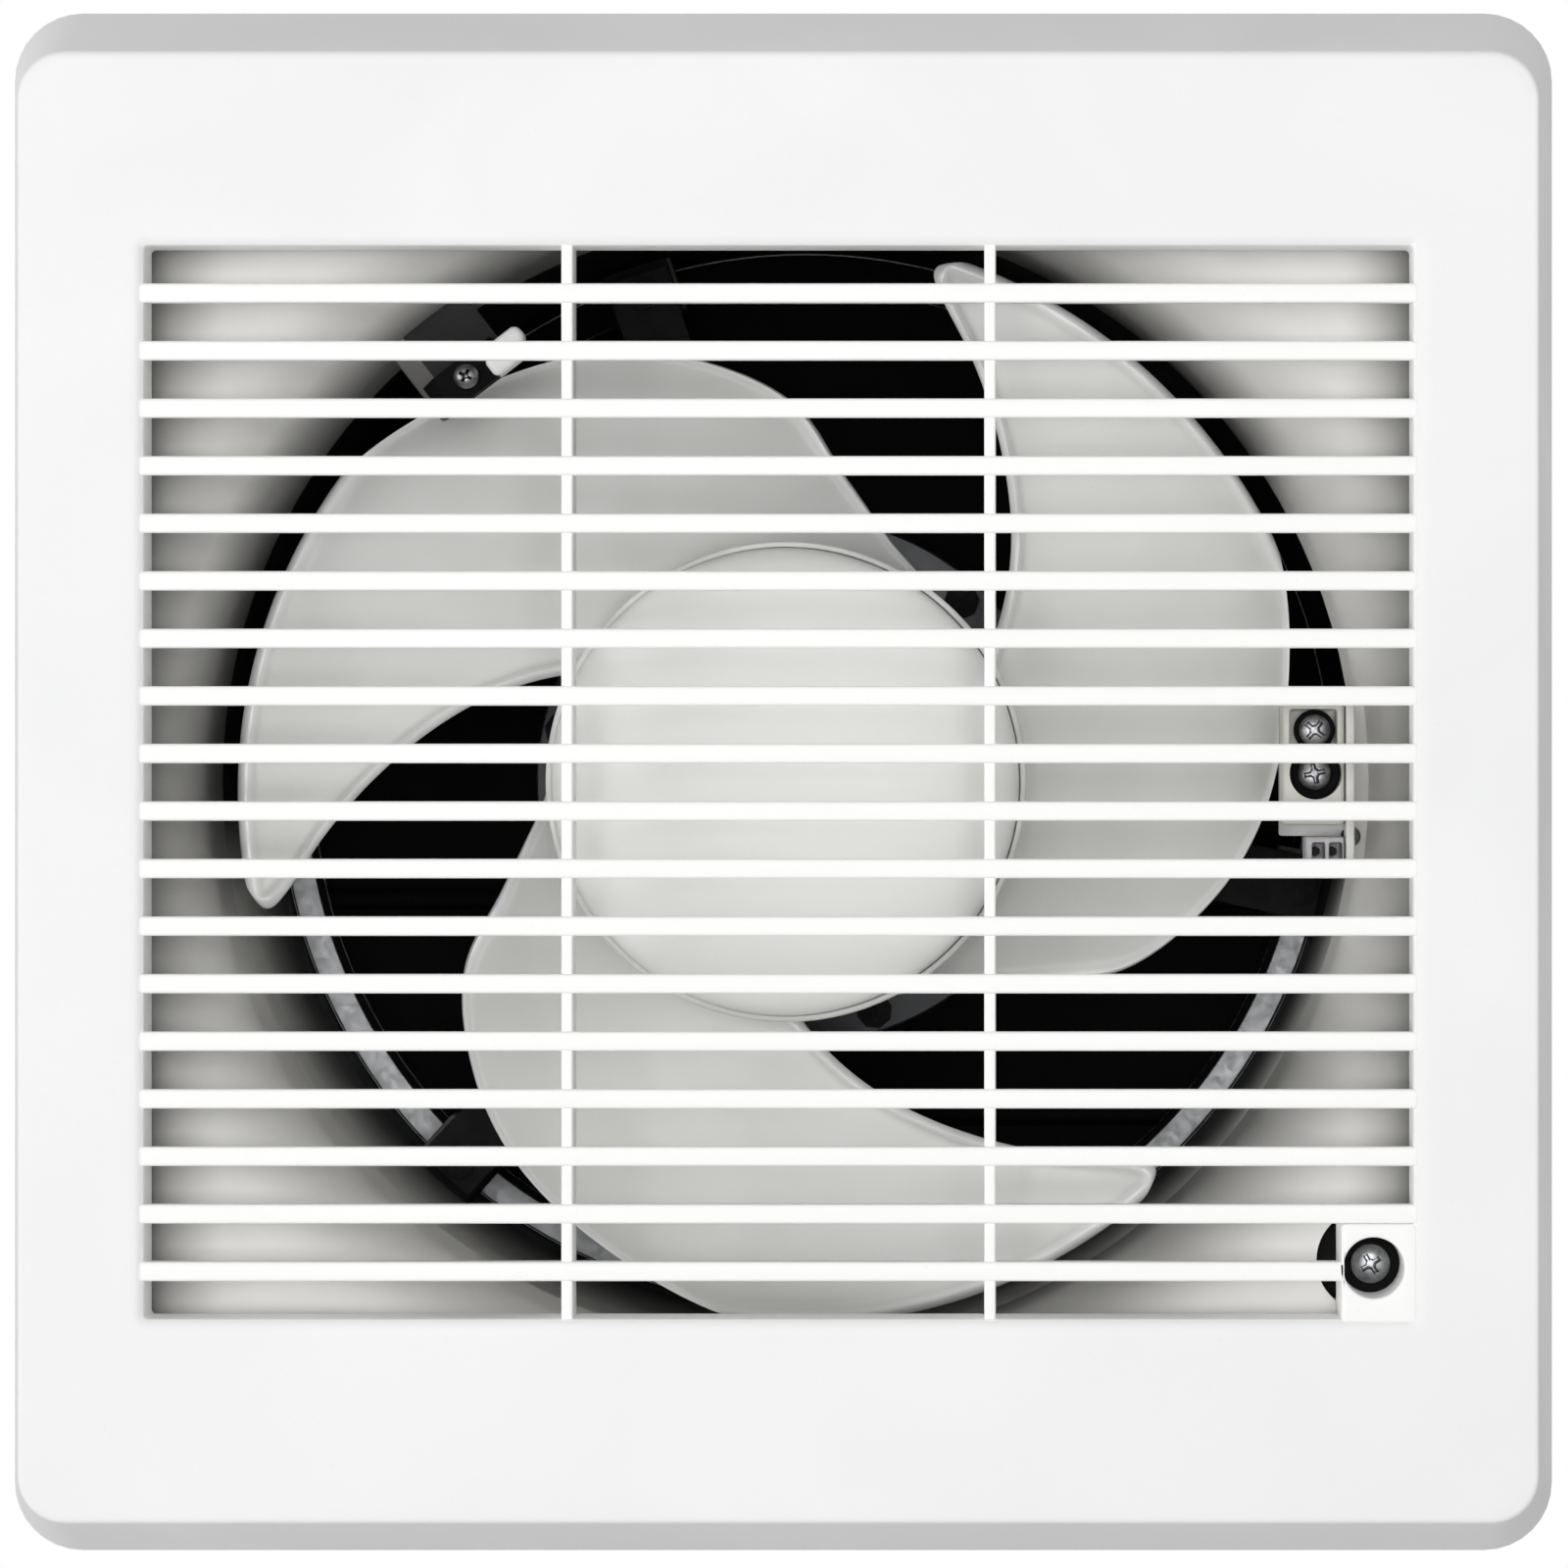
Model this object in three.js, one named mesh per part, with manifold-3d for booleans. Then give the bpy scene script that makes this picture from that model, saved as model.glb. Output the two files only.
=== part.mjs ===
// Window exhaust fan for a glass pane, 200 mm class, with a gravity shutter.
//
// Lengths are millimetres and angles are degrees.
// Fan frame: x to the right, y up, z out of the glass into the room. The fan axis is x = y = 0
// and the room side of the glass is z = 0. The last group turns this frame so that y points up as +Z.

import * as THREE from 'three';
import { mergeVertices } from 'three/addons/utils/BufferGeometryUtils.js';
import Module from 'manifold-3d';

const wasm = await Module();
wasm.setup();

// ---------------------------------------------------------------- driving dimensions

// Fits
const seatGap = 0.3; // between pieces that rest on each other
const turnGap = 0.5; // round pieces that turn or slide
const weld = 0.6; // how far joined shapes of one moulding reach into each other

// Glass and seals
const paneThickness = 6;
const sealThickness = 2.5;
const sealHoleBeyondThroat = 15.5;
const sealInset = 0.5;

// Front cover
const coverSize = 271;
const coverDepth = 22;
const coverStandOff = 2;
const coverWall = 2.4;
const rimCornerRadius = 12;
const faceCornerRadius = 8;
const faceInsetSide = 4.8;
const faceInsetTop = 10.2;
const faceInsetBottom = 8.4;
const rimProfile = [[0, 0], [0, 0.07], [0.74, 0.84], [0.94, 0.955], [1.25, 1]];

// Grille in the cover
const slatCount = 18;
const slatHeight = 3.45;
const slatGap = 6.45;
const slatDepth = 8;
const slatBackHeight = 2.2;
const slatRecess = 0.4;
const grilleSideMargin = 26.3;
const ribCount = 2;
const ribWidth = 2;
const ribRecess = 0.6;
const lipDepth = 9;
const lipWall = 2.2;
const openingChamfer = 2;
const openingChamferDepth = 0.9;

// Cover screw, its block in the grille's lower right corner, hooks and posts
const blockWidth = 12.4;
const coverScrewFromSide = 6.8;
const coverScrewFromBottom = 8.8;
const counterboreRadius = 5.25;
const counterboreDepth = 9;
const coverScrewLength = 9;
const coverHookSpacing = 140;
const coverHookWidth = 10;
const coverHookThickness = 1.8;
const coverHookFromTop = 6.5;
const coverHookReach = 5.4;
const coverPostInset = 9;
const coverPostRadius = 3;

// Fan housing: a tray with a bell mouth
const dishDepth = 13;
const housingSideInset = 8.5;
const housingTopInset = 11;
const housingCornerRadius = 8;
const housingWall = 2.2;
const baseFlangeInset = 4;
const throatInset = 33;
const bellRadial = 18.5;
const bellAxial = 16;
const postHoleRadius = 9;
const screwPostRadius = 4.4;

// Wiring box at the right of the throat and cord clamp at its upper left
const boxReachIntoThroat = 14.9;
const boxTop = 14;
const boxBottom = -15.6;
const boxFloor = 2;
const boxFloorZ = 0;
const boxWallHeight = 8.5;
const boxWallIntoThroat = 3.7;
const boxRightWallThickness = 1.5;
const boxLowerIntoThroat = 10.1;
const boxStep = -9.6;
const terminalWidth = 6.8;
const terminalHeight = 5.2;
const terminalDepth = 7.5;
const terminalPitch = 3;
const terminalHoleRadius = 1.15;
const terminalHoleDepth = 5;
const terminalCoverDepth = 8;
const terminalCoverWall = 1.2;
const terminalCoverBottom = -7.6;
const terminalBoreRadius = 4.6;
const terminalScrewFromWall = 5.3;
const terminalScrewHeight = 1.5;
const terminalScrewSpacing = 7.6;
const terminalWellDepth = 5;
const clampAngle = 128;
const clampIntoThroat = 12;
const clampLugWidth = 17;
const clampSaddleWidth = 6.8;
const clampSaddleLength = 15;
const clampSaddleRise = 4;

// Supply entry
const entryFromSide = 9.5;
const entryY = 64;
const entryRadius = 5;

// Duct sleeve
const sleeveBeyondThroat = 1.5;
const sleeveWall = 2.5;
const sleeveRear = 97;
const sleeveFlangeThickness = 2.5;
const sleeveFlangeClearance = 3.3;
const lugDepth = 14;
const lugWidth = 14;
const lugReach = 11.5;

// Tie screws between the clamp flange and the housing
const tieScrewCount = 4;
const tieFromSealHole = 7.8;
const tieBossRadius = 4.5;
const tieScrewLength = 13;

// Clamp flange outside the glass
const clampFlangeInset = 4.5;
const clampFlangeThickness = 3;
const clampFlangeRim = 2.2;
const clampFlangeRimHeight = 5;
const clampFlangeRingInset = 1;
const clampFlangeRibs = 8;

// Impeller
const bladeCount = 3;
const bladeTipClearance = 4.5;
const bladeFrontDepth = 30;
const bladePitchPerRadian = 16;
const bladeCamber = 2.6;
const bladeThickness = 2;
const bladeEdgeThickness = 1.4;
const hubRadius = 44.5;
const hubWall = 1.9;
const hubFrontZ = -3.5;
const hubLength = 43;
const hubWebZ = -17;
const hubWebThickness = 2.5;
const hubRibCount = 6;
const hubBossRadius = 9;
const capGroove = 1;
const capRise = 7;
const capWall = 2;
const capSkirt = 4.2;
const capLedge = 4.6;

// Edges of a blade: share of the way from hub to tip, and angle anticlockwise from the right
const leadingEdge = [[0, 33], [0.25, 45], [0.5, 56.9], [0.75, 67.6], [0.88, 72.6], [0.96, 73.6], [1, 70]];
const trailingEdge = [
  [0, -66], [0.08, -53], [0.25, -40.2], [0.48, -30.5], [0.62, -20.5],
  [0.76, -7.6], [0.87, 8.5], [0.95, 19.5], [1, 28],
];

// Shaft and its fastening
const shaftRadius = 4;
const shaftThreadRadius = 3;
const shaftFrontZ = -4.5;
const washerThickness = 1.6;
const nutHeight = 6;
const nutRadius = 6.6;
const drivePinRadius = 1.5;
const drivePinLength = 15;
const pinSlotDepth = 4.6;

// Motor
const motorRadius = 41.5;
const motorFrontZ = -50.5;
const motorHalfLength = 19.5;
const shellWall = 1.6;
const shellFlangeThickness = 2;
const shellFlangeRadius = 50.5;
const bearingOuterRadius = 11;
const bearingWidth = 7;
const bearingSeatWall = 2;
const statorLength = 22;
const statorBoreRadius = 20.8;
const statorPoles = 8;
const statorYoke = 6;
const statorPoleWidth = 9;
const airGap = 0.5;
const windingInnerRadius = 24;
const windingWall = 13;
const windingLength = 7;
const motorScrewCount = 3;
const motorScrewCircle = 46.4;
const shellSlotCount = 4;

// Motor mount
const mountThickness = 3;
const mountArmWidth = 12;
const mountArmAngle = -12;
const mountArmCount = 3;
const mountRibHeight = 4;
const mountRibWidth = 2.4;
const mountScrewLength = 12;

// Motor lead
const leadRadius = 1.3;
const leadAngle = -5.5;
const leadFromWall = 1.8;
const leadBend = 8;
const leadEntry = 2.5;

// Shutter
const flapCount = 5;
const shutterBeyondSleeve = 7;
const shutterWall = 2.5;
const shutterPlate = 2.7;
const shutterDepth = 14;
const shutterCollar = 9;
const lipIntoThroat = 5;
const flapAxisBehindPlate = 6;
const flapBarrelRadius = 2;
const flapThickness = 1.6;
const flapPinRadius = 1.4;
const flapSideGap = 0.6;
const flapEdgeGap = 0.8;
const flapLipDrop = 1.1;
const stopRailWidth = 3;
const flapEndMargin = 3.5;

// Screws
const screwShankRadius = 1.8;
const screwHeadRadius = 3.4;
const screwHeadHeight = 2.3;
const screwHoleGap = 0.4;
const smallHeadRadius = 2.6;

// Facets
const largeFacets = 36;
const hubFacets = 28;
const mediumFacets = 18;
const smallFacets = 10;
const screwFacets = 8;
const holeFacets = 6;
const bellSteps = 4;
const cornerSteps = 2;

// ---------------------------------------------------------------- derived places

const coverFrontZ = coverStandOff + coverDepth;
const grilleWidth = coverSize - 2 * grilleSideMargin;
const housingWidth = coverSize - 2 * housingSideInset;
const housingHeight = coverSize - 2 * housingTopInset;
const baseFlangeSize = coverSize - 2 * baseFlangeInset;
const clampFlangeSize = coverSize - 2 * clampFlangeInset;
const throatRadius = coverSize / 2 - throatInset;
const sealHoleRadius = throatRadius + sealHoleBeyondThroat;
const sleeveRadius = throatRadius + sleeveBeyondThroat;
const sleeveFlangeRadius = sealHoleRadius - sleeveFlangeClearance;
const lugInnerRadius = sleeveRadius - lugReach;
const tieCircleRadius = sealHoleRadius - tieFromSealHole;
const clampFlangeRingRadius = sealHoleRadius - clampFlangeRingInset;
const bladeTipRadius = throatRadius - bladeTipClearance;
const boxInnerReach = throatRadius - boxReachIntoThroat;
const boxRightWallX = throatRadius - boxWallIntoThroat;
const boxLowerReach = throatRadius - boxLowerIntoThroat;
const clampRadius = throatRadius - clampIntoThroat;
const entryX = entryFromSide - housingWidth / 2;
const grilleHeight = slatCount * slatHeight + (slatCount + 1) * slatGap;
const slatPitch = slatHeight + slatGap;
const slatFrontZ = coverFrontZ - slatRecess;
const ribSpacing = grilleWidth / (ribCount + 1);
const lipBackZ = coverFrontZ - lipDepth;
const plateFrontZ = coverFrontZ - dishDepth;
const plateBackZ = plateFrontZ - housingWall;
const baseFlangeBackZ = sealThickness + seatGap;
const throatZ = plateFrontZ - bellAxial;
const bellRadius = throatRadius + bellRadial;

const blockHeight = 2 * slatGap + slatHeight;
const blockBackZ = plateFrontZ + seatGap;
const coverScrewX = grilleWidth / 2 - coverScrewFromSide;
const coverScrewY = coverScrewFromBottom - grilleHeight / 2;
const counterboreZ = coverFrontZ - counterboreDepth;
const screwHoleRadius = screwShankRadius + screwHoleGap;

const sleeveOuterRadius = sleeveRadius + sleeveWall;
const sleeveFrontZ = throatZ - seatGap;
const sleeveFlangeBackZ = sleeveFrontZ - sleeveFlangeThickness;
const outerSealBackZ = -paneThickness - sealThickness;
const clampFlangeFrontZ = outerSealBackZ - seatGap;
const clampFlangeBackZ = clampFlangeFrontZ - clampFlangeThickness;
const tieBossHoleTopZ = clampFlangeBackZ + tieScrewLength + 1;
const tieBossTopZ = throatZ + 0.53 * bellAxial;

const bladeTipZ = coverFrontZ - bladeFrontDepth;
const bladeReferenceAngle = 74;
const hubBackZ = hubFrontZ - hubLength;
const hubBoreRadius = shaftRadius + seatGap;
const capRadius = hubRadius - hubWall - capGroove;
const washerFrontZ = hubWebZ + seatGap + washerThickness;
const nutBackZ = washerFrontZ + seatGap;
const drivePinZ = hubBackZ + pinSlotDepth - seatGap - drivePinRadius;

const shellFrontFlangeBackZ = motorFrontZ - motorHalfLength;
const mountFrontZ = shellFrontFlangeBackZ - seatGap;
const mountBackZ = mountFrontZ - mountThickness;
const shellRearFlangeFrontZ = mountBackZ - seatGap;
const motorRearZ = shellRearFlangeFrontZ - motorHalfLength;
const motorMiddleZ = (motorFrontZ + motorRearZ) / 2;
const statorRadius = motorRadius - shellWall - seatGap;
const lugFrontZ = mountBackZ - seatGap;
const mountFootRadius = sleeveRadius - 2;
const mountScrewCircle = (lugInnerRadius + sleeveRadius) / 2;

const shutterSize = 2 * (sleeveRadius + shutterBeyondSleeve);
const lipRadius = throatRadius - lipIntoThroat;
const flapPitch = (shutterSize - 2 * flapEndMargin) / flapCount;
const shutterFrontZ = -sleeveRear - seatGap;
const shutterPlateBackZ = shutterFrontZ - shutterPlate;
const shutterBackZ = shutterPlateBackZ - shutterDepth;
const shutterInner = shutterSize / 2 - shutterWall;
const flapAxisZ = shutterPlateBackZ - flapAxisBehindPlate;
const firstFlapY = (flapCount * flapPitch) / 2 - flapBarrelRadius - 0.4;

const terminalBlockX = boxRightWallX - seatGap - terminalWidth / 2;
const terminalBlockY = boxStep - terminalHeight / 2;
const terminalScrewX = boxRightWallX - terminalScrewFromWall;
const terminalScrewY = terminalScrewHeight;

// ---------------------------------------------------------------- shape helpers

const radians = THREE.MathUtils.degToRad;

// A closed three.js geometry as a solid: shared points merged, empty triangles dropped, faces outward.
function solidOf(geometry) {
  const bare = geometry.clone();
  bare.deleteAttribute('normal');
  bare.deleteAttribute('uv');
  const merged = mergeVertices(bare, 1e-4);
  const points = merged.attributes.position;
  const triangles = [];
  let volume = 0;
  const [a, b, c] = [new THREE.Vector3(), new THREE.Vector3(), new THREE.Vector3()];
  for (let i = 0; i < merged.index.count; i += 3) {
    const corner = [0, 1, 2].map((k) => merged.index.getX(i + k));
    if (new Set(corner).size < 3) continue;
    a.fromBufferAttribute(points, corner[0]);
    b.fromBufferAttribute(points, corner[1]);
    c.fromBufferAttribute(points, corner[2]);
    volume += a.dot(b.cross(c));
    triangles.push(corner);
  }
  const facing = volume < 0 ? triangles.map(([p, q, r]) => [p, r, q]) : triangles;
  const mesh = new wasm.Mesh({
    numProp: 3,
    vertProperties: new Float32Array(points.array),
    triVerts: new Uint32Array(facing.flat()),
  });
  return new wasm.Manifold(mesh);
}

function join(...solids) {
  return solids.reduce((whole, solid) => whole.add(solid));
}

function cut(solid, ...tools) {
  return tools.reduce((rest, tool) => rest.subtract(tool), solid);
}

function repeat(count, make) {
  return Array.from({ length: count }, (_, i) => make(i));
}

function ringAngles(count, first = 0) {
  return repeat(count, (i) => first + (i * 360) / count);
}

// A solid turned about the fan axis.
function turned(solid, angle) {
  return solid.rotate([0, 0, angle]);
}

// Extruded outline between two heights.
function slab(shape, backZ, frontZ) {
  const depth = frontZ - backZ;
  const geometry = new THREE.ExtrudeGeometry(
    shape, { depth, bevelEnabled: false, curveSegments: cornerSteps },
  );
  return solidOf(geometry.translate(0, 0, backZ));
}

function roundedRectangle(width, height, radius, centreX = 0, centreY = 0) {
  const [w, h] = [width / 2 - radius, height / 2 - radius];
  const shape = new THREE.Shape();
  shape.absarc(centreX + w, centreY + h, radius, 0, Math.PI / 2);
  shape.absarc(centreX - w, centreY + h, radius, Math.PI / 2, Math.PI);
  shape.absarc(centreX - w, centreY - h, radius, Math.PI, 1.5 * Math.PI);
  shape.absarc(centreX + w, centreY - h, radius, 1.5 * Math.PI, 2 * Math.PI);
  return shape;
}

function block(leftX, rightX, bottomY, topY, backZ, frontZ) {
  const geometry = new THREE.BoxGeometry(rightX - leftX, topY - bottomY, frontZ - backZ);
  geometry.translate((leftX + rightX) / 2, (bottomY + topY) / 2, (backZ + frontZ) / 2);
  return solidOf(geometry);
}

// Round solid about an axis parallel to the fan axis.
function rod(radius, backZ, frontZ, facets = smallFacets, x = 0, y = 0) {
  const geometry = new THREE.CylinderGeometry(radius, radius, frontZ - backZ, facets);
  geometry.rotateX(Math.PI / 2);
  return solidOf(geometry.translate(x, y, (backZ + frontZ) / 2));
}

// Profile of [radius, z] pairs revolved about the fan axis. It closes on itself or on the axis.
function revolved(profile, facets) {
  const points = profile.map(([radius, z]) => new THREE.Vector2(radius, z));
  const closed = profile[0][0] === 0 && profile.at(-1)[0] === 0;
  if (!closed) points.push(points[0].clone());
  return solidOf(new THREE.LatheGeometry(points, facets).rotateX(Math.PI / 2));
}

function ring(innerRadius, outerRadius, backZ, frontZ, facets) {
  const profile = [
    [innerRadius, backZ], [outerRadius, backZ], [outerRadius, frontZ], [innerRadius, frontZ],
  ];
  return revolved(profile, facets);
}

// Quarter ellipse of [radius, z] pairs from the flat plate down to the throat.
function bellCurve(offset) {
  return repeat(bellSteps + 1, (i) => {
    const angle = (i / bellSteps) * (Math.PI / 2);
    const radius = bellRadius - (bellRadial - offset) * Math.sin(angle);
    return [radius, throatZ + (bellAxial - offset) * Math.cos(angle)];
  });
}

// Skin through closed outlines of equal point count, capped at both ends.
function lofted(outlines) {
  const count = outlines[0].length;
  const positions = outlines.flat().flatMap((point) => [point.x, point.y, point.z]);
  const index = [];
  for (let level = 0; level + 1 < outlines.length; level += 1) {
    for (let i = 0; i < count; i += 1) {
      const [p, q] = [level * count + i, level * count + ((i + 1) % count)];
      index.push(p, q, q + count, p, q + count, p + count);
    }
  }
  const cap = THREE.ShapeUtils.triangulateShape(outlines[0].map((p) => new THREE.Vector2(p.x, p.y)), []);
  const top = (outlines.length - 1) * count;
  cap.forEach(([a, b, c]) => index.push(c, b, a, top + a, top + b, top + c));
  const geometry = new THREE.BufferGeometry();
  geometry.setAttribute('position', new THREE.Float32BufferAttribute(positions, 3));
  geometry.setIndex(index);
  return solidOf(geometry);
}

// Value at a share between given [share, value] pairs, smooth through them.
function smoothValue(pairs, share) {
  const last = pairs.length - 2;
  const found = pairs.findIndex(([start], i) => i <= last && share <= pairs[i + 1][0] && share >= start);
  const i = found < 0 ? (share < pairs[0][0] ? 0 : last) : found;
  const slope = (j) => {
    const [before, after] = [pairs[Math.max(j - 1, 0)], pairs[Math.min(j + 1, last + 1)]];
    return (after[1] - before[1]) / (after[0] - before[0]);
  };
  const [[x0, y0], [x1, y1]] = [pairs[i], pairs[i + 1]];
  const width = x1 - x0;
  const t = (share - x0) / width;
  if (t < 0) return y0 + slope(i) * (share - x0);
  const rise = (3 - 2 * t) * t * t;
  const leave = t * (1 - t) * (1 - t);
  const arrive = t * t * (t - 1);
  return y0 + (y1 - y0) * rise + width * (slope(i) * leave + slope(i + 1) * arrive);
}

// Pan-head screw that points towards -z, with a cross or slot in its head, which rests at seatZ.
function panScrew(seatZ, length, headRadius = screwHeadRadius, crossed = true) {
  const topZ = seatZ + screwHeadHeight;
  const body = revolved([
    [0, seatZ - length], [screwShankRadius, seatZ - length], [screwShankRadius, seatZ],
    [headRadius, seatZ], [headRadius, seatZ + 0.6 * screwHeadHeight], [0, topZ],
  ], screwFacets);
  const arm = 0.55 * headRadius;
  const half = 0.12 * headRadius;
  const floorZ = topZ - 0.5 * screwHeadHeight;
  const slot = block(-arm, arm, -half, half, floorZ, topZ + 1);
  const recess = crossed ? join(slot, slot.rotate([0, 0, 90])) : slot;
  return cut(body, recess);
}

// ---------------------------------------------------------------- finishes

function finish(color, roughness, metalness = 0) {
  return { color, roughness, metalness };
}

const whitePlastic = finish(0xf4f4f5, 0.38);
const housingPlastic = finish(0xd2d2ce, 0.5);
const bladePlastic = finish(0xcfcfcc, 0.45);
const capPlastic = finish(0xdcdcda, 0.4);
const blackPlastic = finish(0x0c0c0d, 0.6);
const outerPlastic = finish(0xc9c9ca, 0.5);
const sealRubber = finish(0x1e1e20, 0.9);
const blackSteel = finish(0x151516, 0.5, 0.3);
const motorSteel = finish(0x3a3b3d, 0.45, 0.7);
const lamination = finish(0x6a6a6c, 0.5, 0.8);
const copperWire = finish(0xa8562a, 0.4, 0.8);
const bearingSteel = finish(0xb8babd, 0.25, 1);
const zincSteel = finish(0xa6a8aa, 0.35, 1);
const brass = finish(0xb89a52, 0.35, 1);
const terminalPlastic = finish(0xb4b4b6, 0.5);
const leadSheath = finish(0x0e0e0f, 0.6);

function piece(name, solid, look) {
  const data = solid.getMesh();
  const geometry = new THREE.BufferGeometry();
  geometry.setAttribute('position', new THREE.BufferAttribute(new Float32Array(data.vertProperties), 3));
  geometry.setIndex(new THREE.BufferAttribute(new Uint32Array(data.triVerts), 1));
  geometry.computeVertexNormals();
  const mesh = new THREE.Mesh(geometry, new THREE.MeshStandardMaterial(look));
  mesh.name = name;
  return mesh;
}

// ---------------------------------------------------------------- front cover

// Outline of the cover at one step of its rim: share of the full inset, and wall left off all round.
function coverOutline(share, z, wall) {
  const side = faceInsetSide * share + wall;
  const top = coverSize / 2 - faceInsetTop * share - wall;
  const bottom = -coverSize / 2 + faceInsetBottom * share + wall;
  const radius = THREE.MathUtils.lerp(rimCornerRadius, faceCornerRadius, Math.min(share, 1)) - wall / 2;
  const shape = roundedRectangle(coverSize - 2 * side, top - bottom, radius, 0, (top + bottom) / 2);
  return shape.getPoints(cornerSteps + 1).map((point) => new THREE.Vector3(point.x, point.y, z));
}

function coverShell() {
  const outside = rimProfile.map(([share, up]) => coverOutline(share, coverStandOff + up * coverDepth, 0));
  const inside = [
    coverOutline(0, coverStandOff - 1, coverWall),
    coverOutline(0, coverStandOff + rimProfile[1][1] * coverDepth, coverWall),
    coverOutline(1, coverFrontZ - coverWall, coverWall),
  ];
  return cut(lofted(outside.map(dropRepeat)), lofted(inside.map(dropRepeat)));
}

// An outline without the repeated points where two arcs meet.
function dropRepeat(outline) {
  return outline.filter((point, i) => point.distanceTo(outline[(i + 1) % outline.length]) > 1e-6);
}

// Tapered slat: full height at the front, thinner at the back.
function slat(y) {
  const half = slatHeight / 2;
  const shape = new THREE.Shape([
    new THREE.Vector2(0, half),
    new THREE.Vector2(slatDepth, slatBackHeight / 2),
    new THREE.Vector2(slatDepth, -slatBackHeight / 2),
    new THREE.Vector2(0, -half),
  ]);
  const length = grilleWidth + 2 * weld;
  const geometry = new THREE.ExtrudeGeometry(shape, { depth: length, bevelEnabled: false });
  geometry.rotateY(Math.PI / 2);
  return solidOf(geometry.translate(-length / 2, y, slatFrontZ));
}

function grilleLip() {
  const outer = roundedRectangle(grilleWidth + 2 * lipWall, grilleHeight + 2 * lipWall, lipWall);
  return slab(outer, lipBackZ, coverFrontZ - coverWall / 2);
}

function grilleOpening() {
  const [w, h] = [grilleWidth / 2, grilleHeight / 2];
  const hole = block(-w, w, -h, h, lipBackZ - 1, coverFrontZ + 1);
  const flare = (grow, z) => [[1, 1], [-1, 1], [-1, -1], [1, -1]].map(
    ([sx, sy]) => new THREE.Vector3(sx * (w + grow), sy * (h + grow), z),
  );
  const chamferZ = coverFrontZ - openingChamferDepth;
  const reach = openingChamfer * 1.5;
  return join(hole, lofted([flare(0, chamferZ), flare(reach, chamferZ + openingChamferDepth * 1.5)]));
}

function grilleBars() {
  const slats = repeat(slatCount, (i) => slat(grilleHeight / 2 - slatGap - slatHeight / 2 - i * slatPitch));
  const reach = grilleHeight / 2 + weld;
  const ribs = repeat(ribCount, (i) => {
    const x = (i - (ribCount - 1) / 2) * ribSpacing;
    const frontZ = slatFrontZ - ribRecess;
    return block(x - ribWidth / 2, x + ribWidth / 2, -reach, reach, slatFrontZ - slatDepth, frontZ);
  });
  return join(...slats, ...ribs);
}

function screwBlock() {
  const right = grilleWidth / 2;
  const bottom = -grilleHeight / 2;
  return block(
    right - blockWidth, right + weld, bottom - weld, bottom + blockHeight, blockBackZ, slatFrontZ,
  );
}

function coverScrewHole() {
  return join(
    rod(counterboreRadius, counterboreZ, coverFrontZ + 1, 20, coverScrewX, coverScrewY),
    rod(screwHoleRadius, blockBackZ - 1, counterboreZ + 1, smallFacets, coverScrewX, coverScrewY),
  );
}

// Hook behind the cover's top edge that passes through the housing's plate.
function coverHook(side) {
  const x = (side * coverHookSpacing) / 2;
  const y = housingHeight / 2 - coverHookFromTop;
  const [left, right] = [x - coverHookWidth / 2, x + coverHookWidth / 2];
  const tipZ = plateFrontZ - coverHookReach;
  const leg = block(left, right, y - coverHookThickness, y, tipZ, coverFrontZ - coverWall + weld);
  const barb = block(left, right, y - weld, y + 1, tipZ, plateBackZ - seatGap);
  return join(leg, barb);
}

function coverPost(sx, sy) {
  const x = sx * (housingWidth / 2 - coverPostInset);
  const y = sy * (housingHeight / 2 - coverPostInset);
  return rod(coverPostRadius, plateFrontZ + seatGap, coverFrontZ - coverWall + weld, holeFacets, x, y);
}

function frontCover() {
  const tray = join(coverShell(), grilleLip());
  const framed = cut(tray, grilleOpening());
  const posts = [coverPost(-1, 1), coverPost(1, 1), coverPost(-1, -1), coverPost(1, -1)];
  const whole = join(framed, grilleBars(), screwBlock(), ...posts, coverHook(-1), coverHook(1));
  return piece('front_cover', cut(whole, coverScrewHole()), whitePlastic);
}

function coverScrew() {
  const screw = panScrew(counterboreZ + seatGap, coverScrewLength).translate([coverScrewX, coverScrewY, 0]);
  return piece('cover_screw', screw, zincSteel);
}

// ---------------------------------------------------------------- fan housing

function housingTray() {
  const outer = roundedRectangle(housingWidth, housingHeight, housingCornerRadius);
  const skirtHole = roundedRectangle(
    housingWidth - 2 * housingWall,
    housingHeight - 2 * housingWall,
    housingCornerRadius - housingWall,
  );
  const plate = slab(outer, baseFlangeBackZ + 1, plateFrontZ);
  const inside = slab(skirtHole, baseFlangeBackZ, plateBackZ);
  const flange = slab(
    roundedRectangle(baseFlangeSize, baseFlangeSize, housingCornerRadius),
    baseFlangeBackZ,
    baseFlangeBackZ + housingWall,
  );
  const flangeHole = rod(
    sealHoleRadius, baseFlangeBackZ - 1, baseFlangeBackZ + housingWall + 0.5, largeFacets,
  );
  const bellHole = rod(bellRadius + 0.5, plateBackZ - 1, plateFrontZ + 1, largeFacets);
  return cut(join(cut(plate, inside), flange), flangeHole, bellHole);
}

function bellMouth() {
  const front = bellCurve(0);
  const back = bellCurve(housingWall).reverse();
  const lap = bellRadius + 2;
  return revolved([[lap, plateFrontZ], ...front, ...back, [lap, plateBackZ]], largeFacets);
}

// Each boss ends inside the bell mouth's wall.
function tieBosses() {
  return tieAngles().map((angle) => {
    const boss = rod(tieBossRadius, throatZ, tieBossTopZ, holeFacets + 2, tieCircleRadius, 0);
    return turned(boss, angle);
  });
}

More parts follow.
